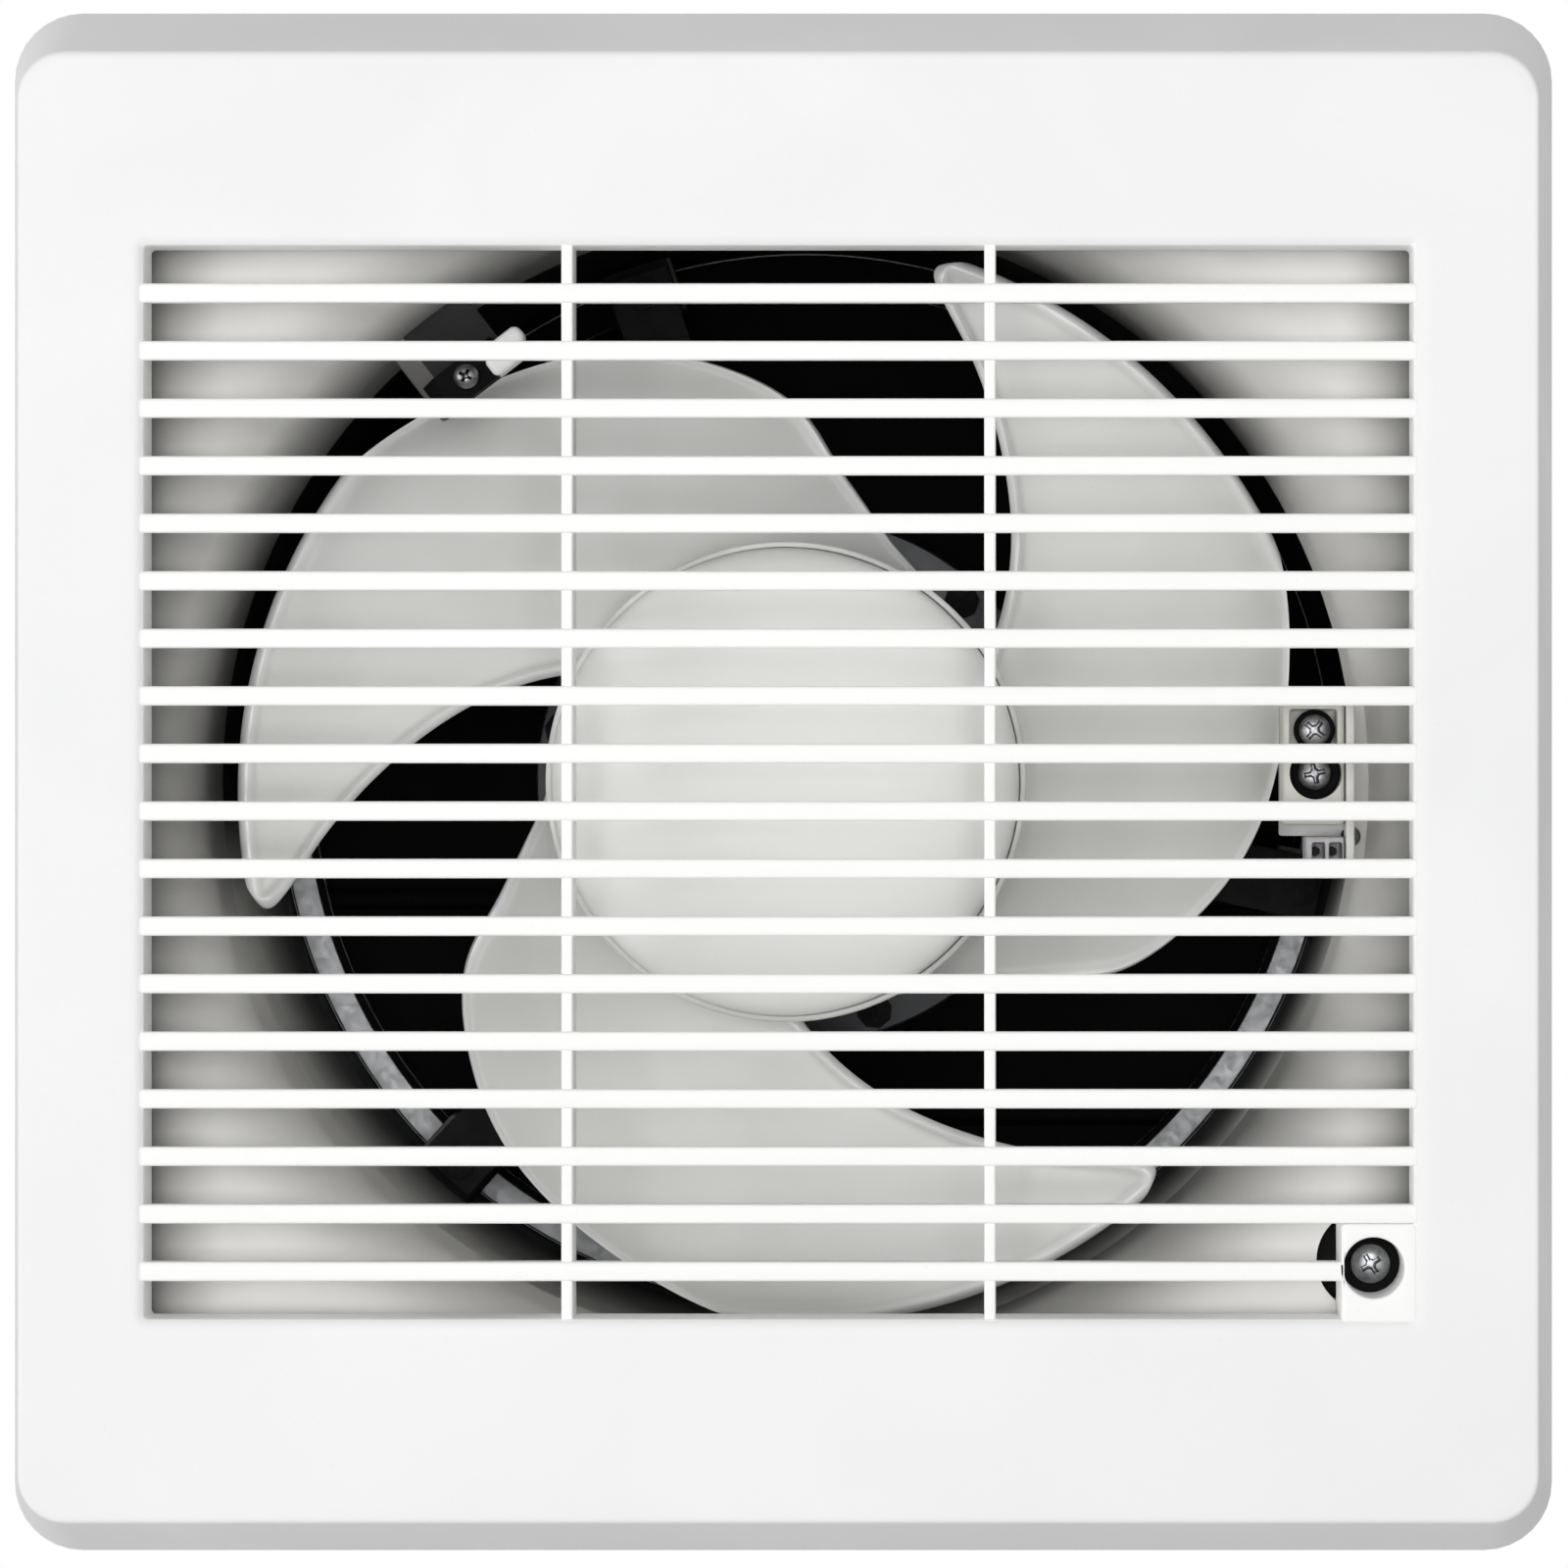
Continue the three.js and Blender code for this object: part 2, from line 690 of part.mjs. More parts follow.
function tieBossHoles() {
  return tieAngles().map((angle) => {
    const hole = rod(screwHoleRadius, throatZ - 1, tieBossHoleTopZ, holeFacets, tieCircleRadius, 0);
    return turned(hole, angle);
  });
}

function tieAngles() {
  return ringAngles(tieScrewCount, 45);
}

// Floor and right-hand wall of the wiring box, which overhangs the throat at the right.
function wiringBox() {
  const reach = throatRadius + 3;
  const floor = join(
    block(boxInnerReach, reach, boxStep, boxTop, boxFloorZ - boxFloor, boxFloorZ),
    block(boxLowerReach, reach, boxBottom, boxStep, boxFloorZ - boxFloor, boxFloorZ),
  );
  const wallRight = boxRightWallX + boxRightWallThickness;
  const wall = block(
    boxRightWallX, wallRight, boxBottom, boxTop, boxFloorZ - boxFloor, boxFloorZ + boxWallHeight,
  );
  return join(floor, wall);
}

// Lug that overhangs the throat at its upper left and carries the cord clamp.
function clampLug() {
  const inner = clampRadius - clampSaddleWidth / 2 - 1;
  const lug = block(
    inner, throatRadius + 3, -clampLugWidth / 2, clampLugWidth / 2, boxFloorZ - boxFloor, boxFloorZ,
  );
  return turned(lug, clampAngle);
}

function housingScrewPost() {
  return rod(screwPostRadius, baseFlangeBackZ + 1, plateFrontZ, smallFacets, coverScrewX, coverScrewY);
}

// Clearance hole round the post, in the plate and, left of the post, in the flange behind it.
function postHoles() {
  const inPlate = rod(postHoleRadius, plateBackZ - 1, plateFrontZ + 1, 16, coverScrewX, coverScrewY);
  const inFlange = rod(postHoleRadius, baseFlangeBackZ - 1, plateBackZ, 16, coverScrewX, coverScrewY);
  const right = coverScrewX - screwPostRadius - 0.5;
  const bottom = coverScrewY - postHoleRadius;
  const left = block(right - 2 * postHoleRadius, right, bottom, bottom + 2 * postHoleRadius, 0, plateBackZ);
  return join(inPlate, inFlange.intersect(left));
}

function hookSlots() {
  return [-1, 1].map((side) => {
    const x = (side * coverHookSpacing) / 2;
    const y = housingHeight / 2 - coverHookFromTop;
    const reach = coverHookWidth / 2 + turnGap;
    const bottom = y - coverHookThickness - turnGap;
    return block(x - reach, x + reach, bottom, y + 1 + turnGap, plateBackZ - 1, plateFrontZ + 1);
  });
}

function leadHole() {
  const radius = throatRadius - leadFromWall;
  const hole = rod(
    leadRadius + turnGap, boxFloorZ - boxFloor - 1, boxFloorZ + leadEntry + 1, screwFacets, radius, 0,
  );
  return turned(hole, leadAngle);
}

function boxFloorHole(x, y) {
  return rod(screwHoleRadius, boxFloorZ - boxFloor - 1, boxFloorZ + 1, holeFacets, x, y);
}

function fanHousing() {
  const shell = cut(join(housingTray(), bellMouth(), ...tieBosses()), postHoles());
  const whole = join(shell, housingScrewPost(), wiringBox(), clampLug());
  const coverScrewThread = rod(
    screwHoleRadius, baseFlangeBackZ + 2, plateFrontZ + 1, holeFacets, coverScrewX, coverScrewY,
  );
  const terminalThreads = [0, 1].map((i) => boxFloorHole(terminalScrewX, terminalCoverScrewY(i)));
  const clampThread = turned(boxFloorHole(clampRadius, 0), clampAngle);
  const entry = rod(entryRadius, plateBackZ - 1, plateFrontZ + 1, smallFacets, entryX, entryY);
  const holes = [
    ...tieBossHoles(), ...hookSlots(), ...terminalThreads, coverScrewThread, clampThread, entry, leadHole(),
  ];
  return piece('fan_housing', cut(whole, ...holes), housingPlastic);
}

function cableGrommet() {
  const groove = entryRadius - seatGap;
  const lip = entryRadius + 1.5;
  const profile = [
    [0, plateBackZ - 1], [groove, plateBackZ - 2],
    [lip, plateBackZ - seatGap - 1.2], [lip, plateBackZ - seatGap],
    [groove, plateBackZ - seatGap], [groove, plateFrontZ + seatGap], [lip, plateFrontZ + seatGap],
    [lip, plateFrontZ + seatGap + 1.2], [groove, plateFrontZ + 2], [0, plateFrontZ + 1],
  ];
  return piece('cable_grommet', revolved(profile, smallFacets).translate([entryX, entryY, 0]), sealRubber);
}

function squareSeal(name, size, backZ) {
  const plate = slab(roundedRectangle(size, size, housingCornerRadius), backZ, backZ + sealThickness);
  const hole = rod(sealHoleRadius, backZ - 1, backZ + sealThickness + 1, largeFacets);
  return piece(name, cut(plate, hole), sealRubber);
}

// ---------------------------------------------------------------- wiring box and cord clamp

function terminalHoleX(i) {
  return terminalBlockX + (i - 0.5) * terminalPitch;
}

function terminalBlock() {
  const backZ = boxFloorZ + seatGap;
  const frontZ = backZ + terminalDepth;
  const holeFloorZ = frontZ - terminalHoleDepth;
  const body = block(
    terminalBlockX - terminalWidth / 2, terminalBlockX + terminalWidth / 2,
    terminalBlockY - terminalHeight / 2, terminalBlockY + terminalHeight / 2,
    backZ, frontZ,
  );
  const holes = repeat(2, (i) => (
    rod(terminalHoleRadius, holeFloorZ, frontZ + 1, holeFacets, terminalHoleX(i), terminalBlockY)
  ));
  return piece('terminal_block', cut(body, ...holes), terminalPlastic);
}

function terminalScrew(i) {
  const floorZ = boxFloorZ + seatGap + terminalDepth - terminalHoleDepth;
  const radius = terminalHoleRadius - 0.25;
  const screw = rod(
    radius, floorZ + seatGap, floorZ + seatGap + 2.2, holeFacets, terminalHoleX(i), terminalBlockY,
  );
  return piece(`terminal_screw_${i + 1}`, screw, brass);
}

// Cap over the live half of the wiring box, with a round well for its lower screw and a square one
// for the upper.
function terminalCover() {
  const backZ = boxFloorZ + seatGap;
  const frontZ = backZ + terminalCoverDepth;
  const floorZ = frontZ - terminalWellDepth;
  const right = boxRightWallX - seatGap;
  const body = block(boxInnerReach, right, terminalCoverBottom, boxTop, backZ, frontZ);
  const wellBottom = terminalScrewY + terminalBoreRadius - 0.6;
  const wellLeft = boxInnerReach + terminalCoverWall;
  const wellRight = right - terminalCoverWall;
  const well = block(wellLeft, wellRight, wellBottom, boxTop - terminalCoverWall, floorZ, frontZ + 1);
  const bore = rod(terminalBoreRadius, floorZ, frontZ + 1, 16, terminalScrewX, terminalScrewY);
  const holes = [0, 1].map((i) => (
    rod(screwHoleRadius, backZ - 1, floorZ + 1, holeFacets, terminalScrewX, terminalCoverScrewY(i))
  ));
  return piece('terminal_cover', cut(body, well, bore, ...holes), blackPlastic);
}

function terminalCoverScrewY(i) {
  return terminalScrewY + i * terminalScrewSpacing;
}

function terminalCoverScrew(i) {
  const seatZ = boxFloorZ + 2 * seatGap + terminalCoverDepth - terminalWellDepth;
  const length = seatZ - boxFloorZ + boxFloor - 0.5;
  const screw = panScrew(seatZ, length).translate([terminalScrewX, terminalCoverScrewY(i), 0]);
  return piece(`terminal_cover_screw_${i + 1}`, screw, zincSteel);
}

// Saddle that grips the supply cord: a strap with raised ends, set across the lug.
function cordClamp() {
  const backZ = boxFloorZ + seatGap;
  const half = clampSaddleLength / 2;
  const outline = new THREE.Shape([
    new THREE.Vector2(-half, 0),
    new THREE.Vector2(-half + 2.4, 0),
    new THREE.Vector2(-half + 3.6, clampSaddleRise - 1.8),
    new THREE.Vector2(half - 3.6, clampSaddleRise - 1.8),
    new THREE.Vector2(half - 2.4, 0),
    new THREE.Vector2(half, 0),
    new THREE.Vector2(half, 1.8),
    new THREE.Vector2(half - 2.4, clampSaddleRise),
    new THREE.Vector2(-half + 2.4, clampSaddleRise),
    new THREE.Vector2(-half, 1.8),
  ]);
  const geometry = new THREE.ExtrudeGeometry(outline, { depth: clampSaddleWidth, bevelEnabled: false });
  geometry.translate(0, 0, -clampSaddleWidth / 2);
  geometry.rotateX(Math.PI / 2);
  geometry.rotateZ(Math.PI / 2);
  const strap = solidOf(geometry.translate(clampRadius, 0, backZ));
  const hole = rod(screwHoleRadius, backZ - 1, backZ + clampSaddleRise + 1, holeFacets, clampRadius, 0);
  return piece('cord_clamp', turned(cut(strap, hole), clampAngle), whitePlastic);
}

function clampScrew() {
  const seatZ = boxFloorZ + 2 * seatGap + clampSaddleRise;
  const screw = panScrew(seatZ, clampSaddleRise + 1.8, smallHeadRadius).translate([clampRadius, 0, 0]);
  return piece('clamp_screw', turned(screw, clampAngle), blackSteel);
}

// ---------------------------------------------------------------- duct sleeve and clamping

function armAngles() {
  return ringAngles(mountArmCount, mountArmAngle);
}

function ductSleeve() {
  const tube = revolved([
    [sleeveRadius, -sleeveRear], [sleeveOuterRadius, -sleeveRear], [sleeveOuterRadius, sleeveFlangeBackZ],
    [sleeveFlangeRadius, sleeveFlangeBackZ], [sleeveFlangeRadius, sleeveFrontZ],
    [sleeveRadius, sleeveFrontZ],
  ], largeFacets);
  const lugRoot = sleeveRadius + 0.5 * sleeveWall;
  const lugs = armAngles().map((angle) => turned(
    block(lugInnerRadius, lugRoot, -lugWidth / 2, lugWidth / 2, lugFrontZ - lugDepth, lugFrontZ), angle,
  ));
  const lugHoles = armAngles().map((angle) => turned(
    rod(screwHoleRadius, lugFrontZ - lugDepth + 3, lugFrontZ + 1, holeFacets, mountScrewCircle, 0), angle,
  ));
  const tieHoles = tieAngles().map((angle) => turned(
    rod(screwHoleRadius, sleeveFlangeBackZ - 1, sleeveFrontZ + 1, holeFacets, tieCircleRadius, 0), angle,
  ));
  return piece('duct_sleeve', cut(join(tube, ...lugs), ...lugHoles, ...tieHoles), blackPlastic);
}

// Square pressure flange outside the glass: plate, turned rim, inner ring and radial ribs.
function clampFlange() {
  const outline = roundedRectangle(clampFlangeSize, clampFlangeSize, housingCornerRadius);
  const innerSize = clampFlangeSize - 2 * clampFlangeRim;
  const rimHole = roundedRectangle(innerSize, innerSize, housingCornerRadius - clampFlangeRim);
  const rimBackZ = clampFlangeBackZ - clampFlangeRimHeight;
  const plate = slab(outline, rimBackZ, clampFlangeFrontZ);
  const hollow = slab(rimHole, rimBackZ - 1, clampFlangeBackZ);
  const ringRadius = clampFlangeRingRadius;
  const stiffener = ring(
    ringRadius, ringRadius + clampFlangeRim, rimBackZ + 1, clampFlangeBackZ + weld, largeFacets,
  );
  const reach = innerSize / 2 + weld;
  const ribs = ringAngles(clampFlangeRibs, 22.5).map((angle) => {
    const nearest = Math.abs(((angle + 45) % 90) - 45);
    const length = reach / Math.cos(radians(nearest));
    const rib = block(ringRadius + weld, length, -1, 1, rimBackZ + 2, clampFlangeBackZ + weld);
    return turned(rib, angle);
  });
  const hole = rod(sleeveOuterRadius + turnGap, rimBackZ - 1, clampFlangeFrontZ + 1, largeFacets);
  const tieHoles = tieAngles().map((angle) => turned(
    rod(screwHoleRadius, clampFlangeBackZ - 1, clampFlangeFrontZ + 1, holeFacets, tieCircleRadius, 0),
    angle,
  ));
  return piece(
    'clamp_flange', cut(join(cut(plate, hollow), stiffener, ...ribs), hole, ...tieHoles), outerPlastic,
  );
}

// Tie screw with its head behind the clamp flange, pointing into the room.
function tieScrew(i) {
  const screw = panScrew(0, tieScrewLength, screwHeadRadius, false).rotate([180, 0, 0]);
  const placed = screw.translate([tieCircleRadius, 0, clampFlangeBackZ - seatGap]);
  return piece(`tie_screw_${i + 1}`, turned(placed, tieAngles()[i]), zincSteel);
}

// ---------------------------------------------------------------- shutter

function flapAxisY(i) {
  return firstFlapY - i * flapPitch;
}

function flapDrop() {
  return flapPitch - flapBarrelRadius - flapEdgeGap;
}

function shutterFrame() {
  const outline = roundedRectangle(shutterSize, shutterSize, 6);
  const body = slab(outline, shutterBackZ, shutterFrontZ);
  const inner = shutterInner;
  const hollow = block(-inner, inner, -inner, inner, shutterBackZ - 1, shutterPlateBackZ);
  const airWay = rod(lipRadius, shutterPlateBackZ - 1, shutterFrontZ + 1, largeFacets);
  const collarInner = sleeveOuterRadius + seatGap;
  const collarOuter = collarInner + shutterWall;
  const collarFrontZ = shutterFrontZ + shutterCollar;
  const collar = ring(collarInner, collarOuter, shutterFrontZ - weld, collarFrontZ, largeFacets);
  const boxed = join(cut(body, hollow), collar);
  const stops = repeat(flapCount, flapAxisY).flatMap((y) => [-1, 1].map((side) => {
    const [near, far] = [inner - stopRailWidth, inner + weld].map((x) => side * x);
    const stopZ = flapAxisZ - 0.25 * flapBarrelRadius + seatGap;
    const [bottom, top] = [y - flapDrop() + 2, y - flapBarrelRadius - 1];
    return block(Math.min(near, far), Math.max(near, far), bottom, top, stopZ, shutterPlateBackZ + weld);
  }));
  const pinHoles = repeat(flapCount, (i) => {
    const hole = rod(flapPinRadius + seatGap, -shutterSize, shutterSize, holeFacets).rotate([0, 90, 0]);
    return hole.translate([0, flapAxisY(i), flapAxisZ]);
  });
  return piece('shutter_frame', cut(join(boxed, ...stops), airWay, ...pinHoles), outerPlastic);
}

// Shutter flap: barrel on its hinge line, a plate behind it and a bottom edge that laps the next barrel.
function shutterFlap(i) {
  const half = shutterInner - flapSideGap;
  const radius = flapBarrelRadius;
  const drop = flapDrop();
  const frontX = 0.25 * radius;
  const backX = frontX + flapThickness;
  const lipFrontX = radius + 0.15;
  const lipBackX = lipFrontX + flapThickness;
  const profile = new THREE.Shape();
  profile.moveTo(frontX, -drop);
  profile.lineTo(lipFrontX, -drop);
  profile.lineTo(lipFrontX, -drop - flapLipDrop);
  profile.lineTo(lipBackX, -drop - flapLipDrop);
  profile.lineTo(lipBackX, -drop + 0.6);
  profile.lineTo(backX, -drop + 2.6);
  profile.lineTo(backX, 0);
  profile.lineTo(frontX, 0);
  const plateGeometry = new THREE.ExtrudeGeometry(profile, { depth: 2 * half, bevelEnabled: false });
  plateGeometry.rotateY(Math.PI / 2);
  const plate = solidOf(plateGeometry.translate(-half, 0, 0));
  const barrel = rod(radius, -half, half, screwFacets).rotate([0, 90, 0]);
  const pinReach = shutterSize / 2 - 0.4;
  const pins = rod(flapPinRadius, -pinReach, pinReach, holeFacets).rotate([0, 90, 0]);
  const flap = join(plate, barrel, pins).translate([0, flapAxisY(i), flapAxisZ]);
  return piece(`shutter_flap_${i + 1}`, flap, blackPlastic);
}

// ---------------------------------------------------------------- impeller

// Point in the middle of a blade's thickness: its angle slides between the edges, and it sinks steadily
// with that angle, so the blade is a screw surface with a shallow bulge towards the room.
function bladePoint(radius, chordShare) {
  const share = (radius - hubRadius) / (bladeTipRadius - hubRadius);
  const lead = smoothValue(leadingEdge, share);
  const trail = smoothValue(trailingEdge, share);
  const angle = THREE.MathUtils.lerp(lead, trail, chordShare);
  const sink = bladePitchPerRadian * radians(bladeReferenceAngle - angle);
  const bulge = 4 * bladeCamber * chordShare * (1 - chordShare);
  const z = bladeTipZ - sink + bulge;
  return new THREE.Vector3(radius * Math.cos(radians(angle)), radius * Math.sin(radians(angle)), z);
}

function bladeSkin() {
  const spanShares = [0, 0.18, 0.38, 0.58, 0.75, 0.87, 0.95, 1];
  const chordShares = [0, 0.04, 0.2, 0.4, 0.6, 0.8, 0.96, 1];
  const rootRadius = hubRadius - 0.6 * hubWall;
  const radii = spanShares.map((share) => THREE.MathUtils.lerp(rootRadius, bladeTipRadius, share));
  const [rows, columns] = [radii.length, chordShares.length];
  const positions = [];
  [1, -1].forEach((side) => radii.forEach((radius) => chordShares.forEach((share) => {
    const thick = THREE.MathUtils.lerp(bladeEdgeThickness, bladeThickness, 4 * share * (1 - share));
    const point = bladePoint(radius, share);
    positions.push(point.x, point.y, point.z + (side * thick) / 2);
  })));
  const at = (side, row, column) => (side * rows + row) * columns + column;
  const index = [];
  const quad = (a, b, c, d) => index.push(a, b, c, a, c, d);
  for (let row = 0; row + 1 < rows; row += 1) {
    for (let column = 0; column + 1 < columns; column += 1) {
      quad(at(0, row, column), at(0, row, column + 1), at(0, row + 1, column + 1), at(0, row + 1, column));
      quad(at(1, row, column), at(1, row + 1, column), at(1, row + 1, column + 1), at(1, row, column + 1));
    }
    quad(at(0, row, 0), at(0, row + 1, 0), at(1, row + 1, 0), at(1, row, 0));
    const end = columns - 1;
    quad(at(0, row + 1, end), at(0, row, end), at(1, row, end), at(1, row + 1, end));
  }
  for (let column = 0; column + 1 < columns; column += 1) {
    quad(at(0, 0, column + 1), at(0, 0, column), at(1, 0, column), at(1, 0, column + 1));
    const top = rows - 1;
    quad(at(0, top, column), at(0, top, column + 1), at(1, top, column + 1), at(1, top, column));
  }
  const geometry = new THREE.BufferGeometry();
  geometry.setAttribute('position', new THREE.Float32BufferAttribute(positions, 3));
  geometry.setIndex(index);
  return solidOf(geometry);
}

function impellerHub() {
  const inner = hubRadius - hubWall;
  const webBackZ = hubWebZ - hubWebThickness;
  const ledgeZ = hubFrontZ - capLedge;
  return revolved([
    [hubBoreRadius, hubBackZ], [hubBossRadius, hubBackZ], [hubBossRadius, webBackZ], [inner, webBackZ],
    [inner, hubBackZ], [hubRadius, hubBackZ], [hubRadius, hubFrontZ], [inner, hubFrontZ],
    [inner, ledgeZ], [inner - 3.5, ledgeZ], [inner, ledgeZ - 3.5],
    [inner, hubWebZ], [hubBoreRadius, hubWebZ],
  ], hubFacets);
}

function impeller() {
  const blade = bladeSkin();
  const blades = ringAngles(bladeCount).map((angle) => turned(blade, angle));
  const ribReach = hubRadius - hubWall + weld;
  const ribs = ringAngles(hubRibCount).map((angle) => turned(
    block(hubBossRadius - weld, ribReach, -0.8, 0.8, hubBackZ + 8, hubWebZ - hubWebThickness + weld),
    angle + 30,
  ));
  const slotHalf = drivePinRadius + seatGap;
  const slot = block(
    -hubBossRadius - 1, hubBossRadius + 1, -slotHalf, slotHalf, hubBackZ - 1, hubBackZ + pinSlotDepth,
  );
  return piece('impeller', cut(join(impellerHub(), ...blades, ...ribs), slot), bladePlastic);
}

// Domed cap: flattened curve from the crown to the rim, then a short skirt that sits on the hub's ledge.
function hubCap() {
  const dome = (radius, rise, steps) => repeat(steps + 1, (i) => {
    const angle = (i / steps) * (Math.PI / 2);
    return [radius * Math.sin(angle), hubFrontZ + rise * Math.cos(angle) ** 0.6];
  });
  const outer = dome(capRadius, capRise, 5);
  const inner = dome(capRadius - capWall, capRise - capWall, 3).reverse();
  const skirtZ = hubFrontZ - capSkirt;
  const profile = [...outer, [capRadius, skirtZ], [capRadius - capWall, skirtZ], ...inner];
  profile[0][0] = 0;
  profile.at(-1)[0] = 0;
  return piece('hub_cap', revolved(profile, hubFacets), capPlastic);
}

function nutWasher() {
  const washer = ring(
    shaftRadius + seatGap, hubBossRadius - 0.5, washerFrontZ - washerThickness, washerFrontZ, 16,
  );
  return piece('nut_washer', washer, zincSteel);
}

function impellerNut() {
  const hexagon = rod(nutRadius, nutBackZ, nutBackZ + nutHeight, 6);
  const hole = rod(shaftThreadRadius + seatGap, nutBackZ - 1, nutBackZ + nutHeight + 1);
  return piece('impeller_nut', cut(hexagon, hole), zincSteel);
}

function motorShaft() {
  const shoulderZ = washerFrontZ - 0.2;
  const rearZ = motorRearZ + shellWall + seatGap;
  const body = revolved([
    [0, rearZ], [shaftRadius, rearZ], [shaftRadius, shoulderZ],
    [shaftThreadRadius, shoulderZ], [shaftThreadRadius, shaftFrontZ], [0, shaftFrontZ],
  ], 16);
  const pinHole = rod(drivePinRadius + 0.2, -10, 10, 12).rotate([0, 90, 0]).translate([0, 0, drivePinZ]);
  return piece('motor_shaft', cut(body, pinHole), bearingSteel);
}

function drivePin() {
  const half = drivePinLength / 2;
  const pin = rod(drivePinRadius, -half, half, 10).rotate([0, 90, 0]).translate([0, 0, drivePinZ]);
  return piece('drive_pin', pin, bearingSteel);
}

function rotorCore() {
  const half = statorLength / 2;
  const radius = statorBoreRadius - airGap;
  const core = ring(shaftRadius + seatGap, radius, motorMiddleZ - half, motorMiddleZ + half, 20);
  return piece('rotor_core', core, lamination);
}

// ---------------------------------------------------------------- motor

// Half shell with its closed end at endZ and its flange at flangeZ. The inward sign points from the end
// into the motor.
function motorShell(name, endZ, flangeZ, inward) {
  const z = (distance) => endZ + inward * distance;
  const inner = motorRadius - shellWall;
  const seatInner = bearingOuterRadius + seatGap;
  const seatOuter = seatInner + bearingSeatWall;
  const flangeStart = flangeZ - inward * shellFlangeThickness;
  const shell = revolved([
    [shaftRadius + 1, z(0)], [motorRadius - 3, z(0)], [motorRadius, z(3)], [motorRadius, flangeStart],
    [shellFlangeRadius, flangeStart], [shellFlangeRadius, flangeZ], [inner, flangeZ], [inner, z(3.5)],
    [motorRadius - 5, z(shellWall)], [seatOuter, z(shellWall)], [seatOuter, z(shellWall + bearingWidth)],
    [seatInner, z(shellWall + bearingWidth)], [seatInner, z(shellWall)], [shaftRadius + 1, z(shellWall)],
  ], mediumFacets);
  const slots = ringAngles(shellSlotCount).map((angle) => turned(
    block(19, 33, -1.2, 1.2, Math.min(z(-1), z(3)), Math.max(z(-1), z(3))), angle,
  ));
  const holeStart = Math.min(flangeStart, flangeZ) - 1;
  const holeEnd = Math.max(flangeStart, flangeZ) + 1;
  const holes = motorScrewAngles().map((angle) => turned(
    rod(screwHoleRadius, holeStart, holeEnd, holeFacets, motorScrewCircle, 0), angle,
  ));
  return piece(name, cut(shell, ...slots, ...holes), motorSteel);
}

function motorScrewAngles() {
  return ringAngles(motorScrewCount, mountArmAngle + 60);
}

function bearing(name, backZ) {
  const bore = shaftRadius + seatGap;
  return piece(name, ring(bore, bearingOuterRadius, backZ, backZ + bearingWidth, 16), bearingSteel);
}

// Laminated ring with poles that reach in to the bore.
function statorCore() {
  const half = statorLength / 2;
  const [backZ, frontZ] = [motorMiddleZ - half, motorMiddleZ + half];
  const yoke = ring(statorRadius - statorYoke, statorRadius, backZ, frontZ, mediumFacets);
  const poles = ringAngles(statorPoles).map((angle) => turned(
    block(statorBoreRadius, statorRadius - 1, -statorPoleWidth / 2, statorPoleWidth / 2, backZ, frontZ),
    angle,
  ));
  return piece('stator_core', join(yoke, ...poles), lamination);
}

function statorWinding(name, startZ, outward) {
  const [near, far] = [startZ, startZ + outward * windingLength];
  const outer = windingInnerRadius + windingWall;
  const profile = [
    [windingInnerRadius, near], [outer, near], [outer, far - outward * 2], [outer - 3, far],
    [windingInnerRadius, far],
  ];
  return piece(name, revolved(profile, mediumFacets), copperWire);
}

function motorScrew(i) {
  const seatZ = shellFrontFlangeBackZ + shellFlangeThickness + seatGap;
  const length = seatZ - shellRearFlangeFrontZ + shellFlangeThickness + 2;
  const screw = panScrew(seatZ, length, screwHeadRadius, false).translate([motorScrewCircle, 0, 0]);
  return piece(`motor_screw_${i + 1}`, turned(screw, motorScrewAngles()[i]), blackSteel);
}

// Ring between the two shell flanges with three ribbed arms out to the sleeve's lugs.
function motorMount() {
  const ringInner = motorRadius - 1;
  const plate = ring(ringInner, shellFlangeRadius, mountBackZ, mountFrontZ, mediumFacets);
  const arms = armAngles().map((angle) => {
    const bar = block(
      shellFlangeRadius - 2, mountFootRadius, -mountArmWidth / 2, mountArmWidth / 2,
      mountBackZ, mountFrontZ,
    );
    const [start, end] = [shellFlangeRadius + 1, lugInnerRadius - 1];
    const rib = block(
      start, end, -mountRibWidth / 2, mountRibWidth / 2, mountBackZ - mountRibHeight, mountBackZ + weld,
    );
    return turned(join(bar, rib), angle);
  });
  const feet = armAngles().map((angle) => turned(
    rod(screwHoleRadius, mountBackZ - 1, mountFrontZ + 1, holeFacets, mountScrewCircle, 0), angle,
  ));
  const holes = motorScrewAngles().map((angle) => turned(
    rod(screwHoleRadius, mountBackZ - 1, mountFrontZ + 1, holeFacets, motorScrewCircle, 0), angle,
  ));
  return piece('motor_mount', cut(join(plate, ...arms), ...feet, ...holes), blackSteel);
}

function mountScrew(i) {
  const screw = panScrew(mountFrontZ + seatGap, mountScrewLength, screwHeadRadius, false);
  const placed = screw.translate([mountScrewCircle, 0, 0]);
  return piece(`mount_screw_${i + 1}`, turned(placed, armAngles()[i]), blackSteel);
}

